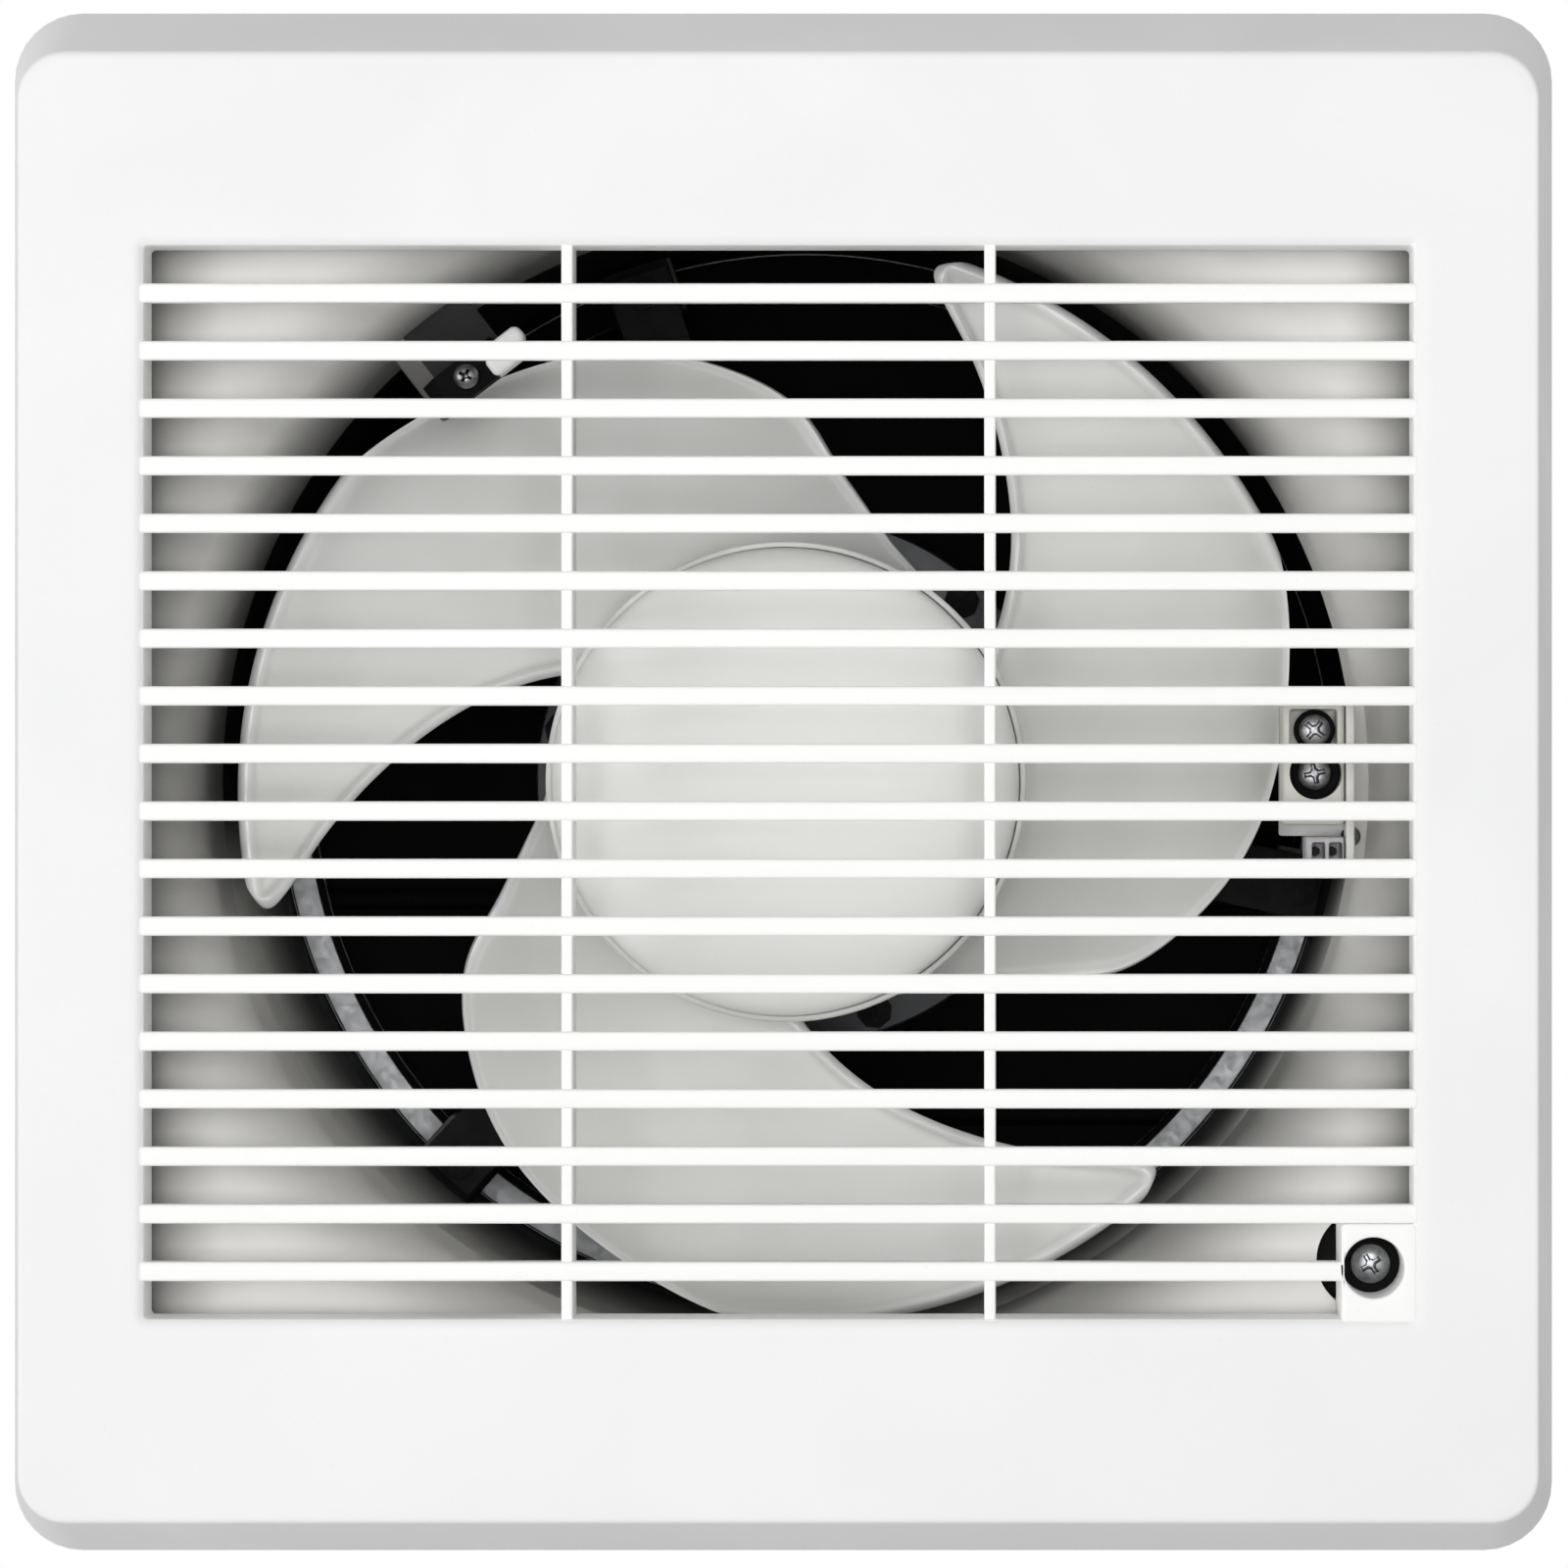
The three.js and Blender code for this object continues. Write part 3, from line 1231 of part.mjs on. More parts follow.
// Two-core lead: out of the rear shell, along an arm to the sleeve, then forward to the wiring box.
function motorLead() {
  const wallRadius = throatRadius - leadFromWall;
  const startZ = motorMiddleZ - 8;
  const at = (radius, z) => new THREE.Vector3(
    radius * Math.cos(radians(leadAngle)), radius * Math.sin(radians(leadAngle)), z,
  );
  const start = at(motorRadius, startZ);
  const bendStart = at(wallRadius - leadBend, startZ);
  const corner = at(wallRadius, startZ);
  const bendEnd = at(wallRadius, startZ + leadBend);
  const end = at(wallRadius, boxFloorZ + leadEntry);
  const path = new THREE.CurvePath();
  path.add(new THREE.LineCurve3(start, bendStart));
  path.add(new THREE.QuadraticBezierCurve3(bendStart, corner, bendEnd));
  path.add(new THREE.LineCurve3(bendEnd, end));
  const section = new THREE.Shape().absarc(0, 0, leadRadius, 0, 2 * Math.PI);
  const geometry = new THREE.ExtrudeGeometry(section, { extrudePath: path, steps: 12, curveSegments: 3 });
  return piece('motor_lead', solidOf(geometry), leadSheath);
}

// ---------------------------------------------------------------- assembly

const roomSide = new THREE.Group();
roomSide.add(
  frontCover(), coverScrew(), fanHousing(), cableGrommet(),
  squareSeal('inner_seal', baseFlangeSize - 2 * sealInset, 0),
  terminalBlock(), terminalScrew(0), terminalScrew(1),
  terminalCover(), terminalCoverScrew(0), terminalCoverScrew(1),
  cordClamp(), clampScrew(),
);

const outside = new THREE.Group();
outside.add(
  squareSeal('outer_seal', clampFlangeSize - 2 * sealInset, outerSealBackZ),
  clampFlange(), ductSleeve(), shutterFrame(),
  ...repeat(tieScrewCount, tieScrew),
  ...repeat(flapCount, shutterFlap),
);

const rotor = new THREE.Group();
rotor.add(impeller(), hubCap(), nutWasher(), impellerNut(), drivePin(), motorShaft(), rotorCore());

const motor = new THREE.Group();
motor.add(
  motorShell('motor_front_shell', motorFrontZ, shellFrontFlangeBackZ, -1),
  motorShell('motor_rear_shell', motorRearZ, shellRearFlangeFrontZ, 1),
  bearing('front_bearing', motorFrontZ - shellWall - seatGap - bearingWidth),
  bearing('rear_bearing', motorRearZ + shellWall + seatGap),
  statorCore(),
  statorWinding('winding_front', motorMiddleZ + statorLength / 2 + seatGap, 1),
  statorWinding('winding_rear', motorMiddleZ - statorLength / 2 - seatGap, -1),
  ...repeat(motorScrewCount, motorScrew),
  motorMount(),
  ...repeat(mountArmCount, mountScrew),
  motorLead(),
);

const windowFan = new THREE.Group();
windowFan.rotation.x = Math.PI / 2;
windowFan.add(roomSide, outside, rotor, motor);

export default windowFan;
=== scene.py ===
import math

import bmesh
import bpy
import numpy as np
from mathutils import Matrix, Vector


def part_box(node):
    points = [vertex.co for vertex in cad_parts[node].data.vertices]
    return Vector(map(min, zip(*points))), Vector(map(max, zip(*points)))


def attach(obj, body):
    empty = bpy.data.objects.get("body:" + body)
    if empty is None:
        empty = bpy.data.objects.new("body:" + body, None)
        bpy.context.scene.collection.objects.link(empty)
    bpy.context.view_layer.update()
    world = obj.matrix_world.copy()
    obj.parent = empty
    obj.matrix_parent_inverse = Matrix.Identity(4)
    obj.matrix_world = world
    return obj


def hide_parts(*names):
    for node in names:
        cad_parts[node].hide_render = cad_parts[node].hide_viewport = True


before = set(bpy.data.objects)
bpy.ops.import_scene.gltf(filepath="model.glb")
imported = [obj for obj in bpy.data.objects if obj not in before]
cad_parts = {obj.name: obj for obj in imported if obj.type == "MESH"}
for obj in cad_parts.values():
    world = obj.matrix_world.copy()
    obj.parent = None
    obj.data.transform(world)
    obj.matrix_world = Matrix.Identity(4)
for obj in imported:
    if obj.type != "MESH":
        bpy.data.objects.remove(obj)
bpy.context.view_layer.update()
print("stage: CAD loaded, nodes", len(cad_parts))

# All shapes are worked out in the fan's own frame, in millimetres: x right, y up, z into the room.
mm = 0.001
overlap = 0.6  # how far a rib, a ring or a stop runs into the wall that carries it


def toWorld(points):
    # the fan frame turned so that y becomes world +Z and the room side faces world -Y
    points = np.asarray(points, dtype=float).reshape(-1, 3)
    return np.stack([points[:, 0], -points[:, 2], points[:, 1]], axis=1) * mm


def unit(vectors):
    # each vector over its length
    return vectors / np.maximum(np.linalg.norm(vectors, axis=-1, keepdims=True), 1e-12)


def onCircle(radius, angle):
    # point at that radius and angle in degrees, anticlockwise round the fan axis as seen from the room
    return radius * math.cos(math.radians(angle)), radius * math.sin(math.radians(angle))


def quarter(steps):
    # inset and fall of a quarter arc of radius 1, from full inset and no fall to no inset and full fall
    turn = np.linspace(0, np.pi / 2, steps)
    return list(zip(1 - np.sin(turn), 1 - np.cos(turn)))


def roundedProfile(corners, steps=4):
    # each corner (a, b, radius) becomes an arc of that radius which touches both of its sides
    corners = np.asarray(corners, dtype=float)
    points, radii = corners[:, :2], corners[:, 2:3]
    toLast = unit(np.roll(points, 1, axis=0) - points)
    toNext = unit(np.roll(points, -1, axis=0) - points)
    cosine = np.clip((toLast * toNext).sum(axis=1, keepdims=True), -0.9999, 0.9999)
    half = np.arccos(cosine) / 2
    centre = points + unit(toLast + toNext) * radii / np.sin(half)
    first = points + toLast * radii / np.tan(half) - centre
    last = points + toNext * radii / np.tan(half) - centre
    turn = (np.pi - 2 * half)[:, :, None]
    share = np.linspace(0, 1, steps + 1)[None, :, None]
    arc = np.sin((1 - share) * turn) * first[:, None, :] + np.sin(share * turn) * last[:, None, :]
    return (centre[:, None, :] + arc / np.sin(turn)).reshape(-1, 2)


def boxSection(near, far, low, high, lowRadius, highRadius):
    # rectangle in a section, its two corners at the low side rounded by one radius and the others by another
    return roundedProfile([
        (near, low, lowRadius), (far, low, lowRadius), (far, high, highRadius), (near, high, highRadius)])


def softened(points, rounds=3):
    # corner cutting: each inner corner gives way to points a quarter and three quarters along its sides
    points = np.asarray(points, dtype=float)
    for _ in range(rounds):
        near, far = points[:-1], points[1:]
        pairs = np.stack([0.75 * near + 0.25 * far, 0.25 * near + 0.75 * far], axis=1).reshape(-1, 2)
        points = np.vstack([points[:1], pairs[1:-1], points[-1:]])
    return points


def rectangleRing(halfWidth, halfHeight, radius, z, centre=(0, 0), cornerSteps=8, sideSteps=32):
    # quarter arcs at the four corners, joined by evenly spaced points along the straight sides
    arc = np.linspace(0, np.pi / 2, cornerSteps + 1)
    corner = np.array([[1, 1], [-1, 1], [-1, -1], [1, -1]]) * [halfWidth - radius, halfHeight - radius]
    angles = arc[None, :] + np.arange(4)[:, None] * np.pi / 2
    arcs = corner[:, None, :] + radius * np.stack([np.cos(angles), np.sin(angles)], axis=-1)
    along = np.linspace(0, 1, sideSteps + 1)[1:-1][None, :, None]
    sides = arcs[:, -1:, :] * (1 - along) + np.roll(arcs, -1, axis=0)[:, :1, :] * along
    flat = np.concatenate([arcs, sides], axis=1).reshape(-1, 2) + np.asarray(centre)
    return np.column_stack([flat, np.full(len(flat), z)])


def circleRing(radius, z, like, centre=(0, 0)):
    # circle whose points lie at the angles of another ring's points, so that the two can be joined
    angles = np.arctan2(like[:, 1] - centre[1], like[:, 0] - centre[0])
    x, y = centre[0] + radius * np.cos(angles), centre[1] + radius * np.sin(angles)
    return np.column_stack([x, y, np.full(len(x), z)])


def squares(width, height, radius, *levels):
    # rounded rectangles about the fan axis, at levels of (inset, z)
    return [rectangleRing(width / 2 - inset, height / 2 - inset, radius, z) for inset, z in levels]


def circles(like, radius, *levels):
    # circles about the fan axis that join another ring, at levels of (inset, z)
    return [circleRing(radius - inset, z, like) for inset, z in levels]


def loft(rings, closed=False):
    # skin of quads over a stack of equal rings, kept as points, quads and triangles; a closed stack joins its
    # last ring to its first, and an open one gets a fan to the middle of each end ring
    rings = np.asarray(rings, dtype=float)
    rows, columns = rings.shape[:2]
    points = rings.reshape(-1, 3)
    i, j = np.meshgrid(np.arange(rows if closed else rows - 1), np.arange(columns), indexing="ij")
    nextRow, nextColumn = (i + 1) % rows, (j + 1) % columns
    quads = [i * columns + j, i * columns + nextColumn, nextRow * columns + nextColumn, nextRow * columns + j]
    quads = np.stack(quads, axis=-1).reshape(-1, 4)
    if closed:
        return points, quads, np.zeros((0, 3), int)
    middles = np.stack([rings[0].mean(axis=0), rings[-1].mean(axis=0)])
    around = np.arange(columns)
    following = (around + 1) % columns
    lastRow, start = (rows - 1) * columns, len(points)
    front = np.column_stack([following, around, np.full(columns, start)])
    back = np.column_stack([lastRow + around, lastRow + following, np.full(columns, start + 1)])
    return np.vstack([points, middles]), quads, np.vstack([front, back])


def lathe(profile, count=96, closed=True, centre=(0, 0)):
    # the profile of (radius, z) pairs carried round the fan axis or a line parallel to it
    profile = np.asarray(profile, dtype=float)
    angles = np.linspace(0, 2 * np.pi, count, endpoint=False)
    radii = np.maximum(profile[:, :1], 1e-4)
    x, y = centre[0] + radii * np.cos(angles), centre[1] + radii * np.sin(angles)
    return loft(np.stack([x, y, np.repeat(profile[:, 1:2], count, axis=1)], axis=-1), closed)


def rod(radius, low, high, centre, count=32, edge=0.25):
    # round bar between two heights with its edges broken
    side = [(radius - edge, low), (radius, low + edge), (radius, high - edge), (radius - edge, high)]
    return lathe([(1e-4, low), *side, (1e-4, high)], count, False, centre)


screwHoleSizes = {"radius": 2.2, "edge": 0.05}


def screwHole(low, high, centre, radius=screwHoleSizes["radius"], count=20):
    # cutter for a drilled or cored hole
    return rod(radius, low, high, centre, count, screwHoleSizes["edge"])


def bar(low, high, radius=0.4, steps=3):
    # box between two corners whose edges are rounded off along z and whose four sides meet in arcs
    low, high = np.asarray(low, dtype=float), np.asarray(high, dtype=float)
    half, middle = (high - low) / 2, (high + low) / 2
    insets, falls = np.array(quarter(steps + 1)).T * radius
    levels = zip(np.concatenate([insets, falls]), np.concatenate([low[2] + falls, high[2] - insets]))
    return loft([rectangleRing(half[0] - i, half[1] - i, max(1.2 * radius - i, 0.02), z, middle[:2], steps, 2)
                 for i, z in levels])


def extruded(profile, low, high, axis="x"):
    # closed profile carried in a straight line; profile pairs are (y, z) along x and (x, z) along y
    profile = np.asarray(profile, dtype=float)
    ends = []
    for place in np.linspace(low, high, 3):
        carried = np.full(len(profile), place)
        flat = [carried, profile[:, 0]] if axis == "x" else [profile[:, 0], carried]
        ends.append(np.column_stack([*flat, profile[:, 1]]))
    return loft(ends)


def spun(shell, angle):
    # the shell turned about the fan axis, in degrees anticlockwise as seen from the room
    c, s = math.cos(math.radians(angle)), math.sin(math.radians(angle))
    return np.asarray(shell[0]) @ np.array([[c, s, 0], [-s, c, 0], [0, 0, 1]]), shell[1], shell[2]


def outward(shell):
    # the signed volume of a closed shell tells whether its faces point out; if not, each is reversed
    points, quads, triangles = shell
    split = np.vstack([quads[:, [0, 1, 2]], quads[:, [0, 2, 3]], triangles])
    a, b, c = (points[split[:, k]] for k in range(3))
    volume = (a * np.cross(b, c)).sum()
    return (points, quads[:, ::-1], triangles[:, ::-1]) if volume < 0 else shell


def meshFrom(name, shells, weights=None):
    # all shells in one mesh, doubles merged; weights, one for each point, become an attribute for the finish
    points, faces, start = [], [], 0
    for shell in map(outward, shells):
        points.append(toWorld(shell[0]))
        faces += (shell[1] + start).tolist() + (shell[2] + start).tolist()
        start += len(shell[0])
    mesh = bpy.data.meshes.new(name)
    mesh.from_pydata(np.vstack(points), [], faces)
    if weights is not None:
        mesh.attributes.new("edgeBead", "FLOAT", "POINT").data.foreach_set("value", weights)
    merged = bmesh.new()
    merged.from_mesh(mesh)
    bmesh.ops.remove_doubles(merged, verts=merged.verts, dist=1e-6)
    bmesh.ops.dissolve_degenerate(merged, edges=merged.edges, dist=1e-7)
    merged.to_mesh(mesh)
    merged.free()
    return mesh


def cutAway(piece, cutters):
    # boolean difference with every cutter shell, then the result becomes the piece's own mesh
    tool = bpy.data.objects.new("cutter", meshFrom("cutter", cutters))
    bpy.context.scene.collection.objects.link(tool)
    modifier = piece.modifiers.new("holes", "BOOLEAN")
    modifier.operation, modifier.solver = "DIFFERENCE", "EXACT"
    modifier.use_self = True
    modifier.object = tool
    evaluated = piece.evaluated_get(bpy.context.evaluated_depsgraph_get())
    carved = bpy.data.meshes.new_from_object(evaluated)
    piece.modifiers.remove(modifier)
    piece.data = carved
    bpy.data.objects.remove(tool)


def addPiece(name, shells, material, slot, *nodes, body="fan_body", cutters=(), sharp=34, weights=None):
    # finished piece with its body, the CAD nodes that it stands for, and its slot, which is not used; sharp is
    # in degrees
    piece = bpy.data.objects.new(name, meshFrom(name, shells, weights))
    bpy.context.scene.collection.objects.link(piece)
    if cutters:
        cutAway(piece, cutters)
    piece.data.materials.clear()
    piece.data.materials.append(material)
    piece.data.shade_smooth()
    piece.data.set_sharp_from_angle(angle=math.radians(sharp))
    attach(piece, body)
    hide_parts(*nodes)


print("stage: helpers ready")


def linear(hexColour):
    # sRGB hex value to the linear colour that the shaders take
    values = np.array([int(hexColour[i:i + 2], 16) / 255 for i in (1, 3, 5)])
    low, high = values / 12.92, ((values + 0.055) / 1.055) ** 2.4
    return (*np.where(values <= 0.04045, low, high), 1.0)


def addNode(tree, kind, settings=None, inputs=None):
    # one node with its settings; an input is a number, a colour, a socket, or a node for its first output
    node = tree.nodes.new("ShaderNode" + kind)
    for key, value in (settings or {}).items():
        setattr(node, key, value)
    for key, value in (inputs or {}).items():
        if isinstance(value, bpy.types.Node):
            value = next(socket for socket in value.outputs if socket.enabled)
        if isinstance(value, bpy.types.NodeSocket):
            tree.links.new(value, node.inputs[key])
        else:
            node.inputs[key].default_value = value
    return node


def startMaterial(name):
    # empty node tree, with the place on the object in metres
    material = bpy.data.materials.new(name)
    material.use_nodes = True
    tree = material.node_tree
    tree.nodes.clear()
    return material, tree, addNode(tree, "TexCoord").outputs["Object"]


def perMetre(size):
    # texture scale of a pattern whose features are this many millimetres across
    return 1 / (size * mm)


paintedLightPatchSize = 14  # patchiness of the painted light inside the duct, in millimetres


def placeShare(tree, place, amount, fades):
    # The amount times a product of fades. Each fade (reading, none, whole, curve) rises from 0, or from a
    # fifth number, to 1 between two values of its reading, as a smooth step or a straight ramp raised to a
    # power. Places are in millimetres: x, depth, height, beside and above the middle, radius from the axis.
    x, depth, height = addNode(tree, "SeparateXYZ", inputs={
        "Vector": addNode(tree, "VectorMath", {"operation": "SCALE"}, {0: place, "Scale": 1 / mm})}).outputs
    readings = {
        "x": lambda: x,
        "depth": lambda: depth,
        "height": lambda: height,
        "beside": lambda: addNode(tree, "Math", {"operation": "ABSOLUTE"}, {0: x}),
        "above": lambda: addNode(tree, "Math", {"operation": "ABSOLUTE"}, {0: height}),
        "radius": lambda: addNode(tree, "VectorMath", {"operation": "LENGTH"}, {
            0: addNode(tree, "CombineXYZ", inputs={"X": x, "Y": height})}),
        "upward": lambda: addNode(tree, "SeparateXYZ", inputs={
            "Vector": addNode(tree, "TexCoord").outputs["Normal"]}).outputs["Z"],
        # noise that makes the painted light inside the duct patchy
        "paintedLightPatches": lambda: addNode(tree, "TexNoise", inputs={
            "Vector": place, "Scale": perMetre(paintedLightPatchSize), "Detail": 4.0}),
        "edgeBead": lambda: addNode(tree, "Attribute", {"attribute_name": "edgeBead"}).outputs["Fac"],
    }
    share = amount
    for reading, none, whole, curve, *least in fades:
        interpolation = "SMOOTHSTEP" if curve == "smooth" else "LINEAR"
        fade = addNode(tree, "MapRange", {"interpolation_type": interpolation}, {
            "Value": readings[reading](), "From Min": none, "From Max": whole, "To Min": sum(least)})
        if curve != "smooth":
            fade = addNode(tree, "Math", {"operation": "POWER"}, {0: fade, 1: curve})
        share = addNode(tree, "Math", {"operation": "MULTIPLY"}, {0: share, 1: fade})
    return share


def surfaceFinish(name, settings, patterns, layers, sheen, relief, shader):
    # Patterns (texture, size in millimetres, inputs, stretch) are noises, cells or bands. Layers lie over the
    # base colour: (colour, pattern, its values at the start and the end, the layer's share at both), or
    # (colour, amount, fades). The sheen makes the roughness follow a pattern; the relief is a bump of one.
    material, tree, place = startMaterial(name)
    made = {}
    for key, (texture, size, inputs, *stretch) in patterns.items():
        where = addNode(tree, "Mapping", inputs={"Vector": place, "Scale": stretch[0]}) if stretch else place
        direction = {"bands_direction": "Y"} if texture == "TexWave" else None
        node = addNode(tree, texture, direction, {"Vector": where, "Scale": perMetre(size), **inputs})
        made[key] = node.outputs["Distance" if texture == "TexVoronoi" else "Fac"]
    colour = linear(settings["colour"])
    for hexColour, *layer in layers:
        if len(layer) == 2:
            share = placeShare(tree, place, *layer)
        else:
            pattern, start, end, first, last = layer
            share = addNode(tree, "MapRange", inputs={
                "Value": made[pattern], "From Min": start, "From Max": end, "To Min": first, "To Max": last})
        colour = addNode(tree, "Mix", {"data_type": "RGBA"}, {
            "Factor": share, "A": colour, "B": linear(hexColour)})
    pattern, start, end, smoother, rougher = sheen
    roughness = addNode(tree, "MapRange", inputs={
        "Value": made[pattern], "From Min": start, "From Max": end,
        "To Min": settings["roughness"] - smoother, "To Max": settings["roughness"] + rougher})
    if "beadRoughness" in settings:
        onBead = placeShare(tree, place, 1.0, [("edgeBead", 0, 1, 1)])
        roughness = addNode(tree, "Mix", inputs={
            "Factor": onBead, "A": roughness, "B": settings["beadRoughness"]})
    pattern, strength, height = relief
    bump = addNode(tree, "Bump", inputs={
        "Height": made[pattern], "Strength": strength, "Distance": height * mm})
    surface = addNode(tree, "BsdfPrincipled", inputs={
        "Base Color": colour, "Roughness": roughness, "Normal": bump, **shader})
    addNode(tree, "OutputMaterial", inputs={"Surface": surface})
    return material


def mouldedPlastic(name, **s):
    # Injection-moulded plastic: spark-eroded grain copied from the mould, slow flow mottle in the colour,
    # and a sheen that is a little duller where the melt cooled last. Fine dust lies in the grain.
    spread = s.get("sheenSpread", 0.06)
    return surfaceFinish(name, s, {
        "grain": ("TexNoise", s["grainSize"], {"Detail": 3.0, "Roughness": 0.55}),
        "flow": ("TexNoise", s["flowSize"], {"Detail": 2.0, "Distortion": 0.6}),
        "speck": ("TexVoronoi", s["speckSpacing"], {"Randomness": 1.0}),
    }, [
        (s["flowColour"], "flow", 0.3, 0.7, 0, 1), *s.get("layers", ()),
        (s["dustColour"], "speck", 0.03, 0.075, s["dustAmount"], 0),
    ], ("flow", 0.25, 0.75, spread, spread), ("grain", s["grainStrength"], s["grainDepth"]),
        {"IOR": s["ior"], "Specular IOR Level": s.get("specularLevel", 0.5)})


# White ABS with a fine satin grain: reads clean and slightly soft, as an unpainted appliance cover does.
# Inside the opening, the slats and ribs read a touch whiter than the frame.
whiteAbs = mouldedPlastic(
    "whiteAbsSatinMoulded", colour="#F4F4F5", flowColour="#F2F2F3", dustColour="#DFDEDA", dustAmount=0.2,
    layers=[("#FDFDFC", 1.0, [("beside", 109.61, 109.6, 1), ("above", 92.71, 92.7, 1)])],
    grainSize=0.4, grainStrength=0.25, grainDepth=0.02, flowSize=45, speckSpacing=3.5,
    roughness=0.5, specularLevel=0.35, ior=1.53)

# Warm light grey ABS of the housing: a coarser grain than the cover, so the dish looks matt. The bell mouth
# carries painted shade: dark over the throat's upper half, lighter over the rest of the bell above and below,
# heavier at its lower right, and gathered in the corner behind the two sides of the cover's opening.
warmGreyAbs = mouldedPlastic(
    "warmGreyAbsMoulded", colour="#F1F0EE", flowColour="#EDECE9", dustColour="#CFCCC4", dustAmount=0.25,
    layers=[
        ("#2E2D2A", 0.88, [
            ("radius", 108.5, 102.3, 1.2), ("x", 95, 82, "smooth"), ("height", -42, -2, "smooth")]),
        ("#3A3936", 0.3, [("radius", 127, 102.3, 1), ("height", 20, 45, "smooth")]),
        ("#3A3936", 0.24, [("radius", 127, 102.3, 1), ("height", -25, -50, "smooth")]),
        ("#2E2D2A", 0.56, [
            ("radius", 122, 102.3, 1.6), ("x", -40, 20, "smooth"), ("height", -25, -60, "smooth")]),
        ("#3E3D39", 0.66, [("beside", 97, 111, "smooth")])],
    grainSize=0.55, grainStrength=0.35, grainDepth=0.03, flowSize=30, speckSpacing=3,
    roughness=0.52, specularLevel=0.35, ior=1.53)

# Light grey glass-filled polypropylene of the blades: even, with a soft sheen that shows their twist. The
# rolled bead along the edges is burnished, and its white is a painted highlight that draws a bright line.
paleGreyPolypropylene = mouldedPlastic(
    "paleGreyPolypropyleneMoulded", colour="#F0F0EE", flowColour="#EBEBE8", dustColour="#C6C3BC",
    dustAmount=0.2, layers=[("#FFFFFF", 1.0, [("edgeBead", 0, 1, 1)])],
    grainSize=0.45, grainStrength=0.22, grainDepth=0.02, flowSize=24, speckSpacing=2.6,
    roughness=0.5, beadRoughness=0.22, specularLevel=1.0, ior=1.49)

# Polished-mould ABS of the hub cap: the palest and most even plastic here, so the dome shades off smoothly.
paleGreyGlossAbs = mouldedPlastic(
    "paleGreyAbsPolishedMould", colour="#FCFCFA", flowColour="#FAFAF8", dustColour="#DFDCD5", dustAmount=0.15,
    grainSize=0.5, grainStrength=0.1, grainDepth=0.01, flowSize=20, speckSpacing=2.8,
    roughness=0.44, sheenSpread=0.01, specularLevel=0.35, ior=1.53)

# Black ABS of the duct sleeve: its black is painted shade, the deep shade inside the throat. A pale patchy
# layer on what faces up inside the duct, thickest near its mouth, is painted light falling on its lower wall.
blackAbs = mouldedPlastic(
    "blackAbsMoulded", colour="#0C0C0D", flowColour="#101011", dustColour="#2A2926", dustAmount=0.12,
    layers=[("#EDECE8", 1.0, [
        ("upward", 0.02, 0.3, "smooth"), ("depth", 84, 42, 1), ("radius", 105.01, 105, 1),
        ("paintedLightPatches", 0.3, 0.7, 1, 0.85)])],
    grainSize=0.5, grainStrength=0.3, grainDepth=0.025, flowSize=18, speckSpacing=2.4,
    roughness=0.65, specularLevel=0.15, ior=1.53)

# Black impact-modified polystyrene of the flaps and small fittings: matt, without a trace of grey. Its black
# on the flaps, the ring at the sleeve's end, the washer under the cover screw and the rings in the terminal
# cap's wells is painted shade.
blackPolystyrene = mouldedPlastic(
    "blackImpactPolystyreneMoulded", colour="#09090A", flowColour="#0C0C0D", dustColour="#1F1E1C",
    dustAmount=0.12, grainSize=0.4, grainStrength=0.25, grainDepth=0.02, flowSize=22, speckSpacing=2.6,
    roughness=0.75, specularLevel=0.08, ior=1.59)

# Light grey weathered ABS of the outdoor pieces: chalkier and duller than the room side.
outdoorGreyAbs = mouldedPlastic(
    "outdoorGreyAbsMoulded", colour="#C6C7C8", flowColour="#BFC0C0", dustColour="#8F8B82", dustAmount=0.45,
    grainSize=0.6, grainStrength=0.4, grainDepth=0.04, flowSize=38, speckSpacing=2.8,
    roughness=0.58, ior=1.53)

# Stone grey polycarbonate of the terminal cap: smooth from the mould, with a soft shine.
stoneGreyPolycarbonate = mouldedPlastic(
    "stoneGreyPolycarbonateMoulded", colour="#D6D6CE", flowColour="#CFCFC6", dustColour="#A9A69D",
    dustAmount=0.2, grainSize=0.3, grainStrength=0.15, grainDepth=0.01, flowSize=9, speckSpacing=1.8,
    roughness=0.4, ior=1.58)

# Light grey nylon of the terminal block: slightly waxy, moulded smooth.
greyNylon = mouldedPlastic(
    "greyNylonMoulded", colour="#B9B7BA", flowColour="#B2B0B3", dustColour="#8D8A85", dustAmount=0.2,
    grainSize=0.3, grainStrength=0.12, grainDepth=0.01, flowSize=6, speckSpacing=1.5,
    roughness=0.38, ior=1.53)


def extrudedRubber(name, **s):
    # Rubber or soft vinyl pushed through a die: faint lines along its run, a matt bloom and a bulk softness.
    return surfaceFinish(name, s, {
        "lines": ("TexNoise", s["lineSpacing"], {"Detail": 2.0}, s["lineStretch"]),
        "bloom": ("TexNoise", s["bloomSize"], {"Detail": 4.0, "Roughness": 0.6}),
    }, [(s["bloomColour"], "bloom", 0.45, 0.75, 0, s["bloomAmount"])],
        ("bloom", 0.3, 0.7, 0.08, 0.08), ("lines", 0.3, s["lineDepth"]), {"IOR": 1.52})


# EPDM sealing rubber: dark, matt, with a pale bloom that creeps out of it with age.
epdmRubber = extrudedRubber(
    "epdmRubberExtruded", colour="#111113", bloomColour="#262628", bloomAmount=0.5, bloomSize=9,
    lineSpacing=1.2, lineStretch=(0.15, 1.0, 1.0), lineDepth=0.04, roughness=0.8)

# PVC sheath of the motor lead: smoother than the seals, with a faint shine along its length.
pvcSheath = extrudedRubber(
    "pvcSheathExtruded", colour="#0E0E10", bloomColour="#222224", bloomAmount=0.3, bloomSize=5,
    lineSpacing=0.5, lineStretch=(1.0, 0.1, 1.0), lineDepth=0.02, roughness=0.42)


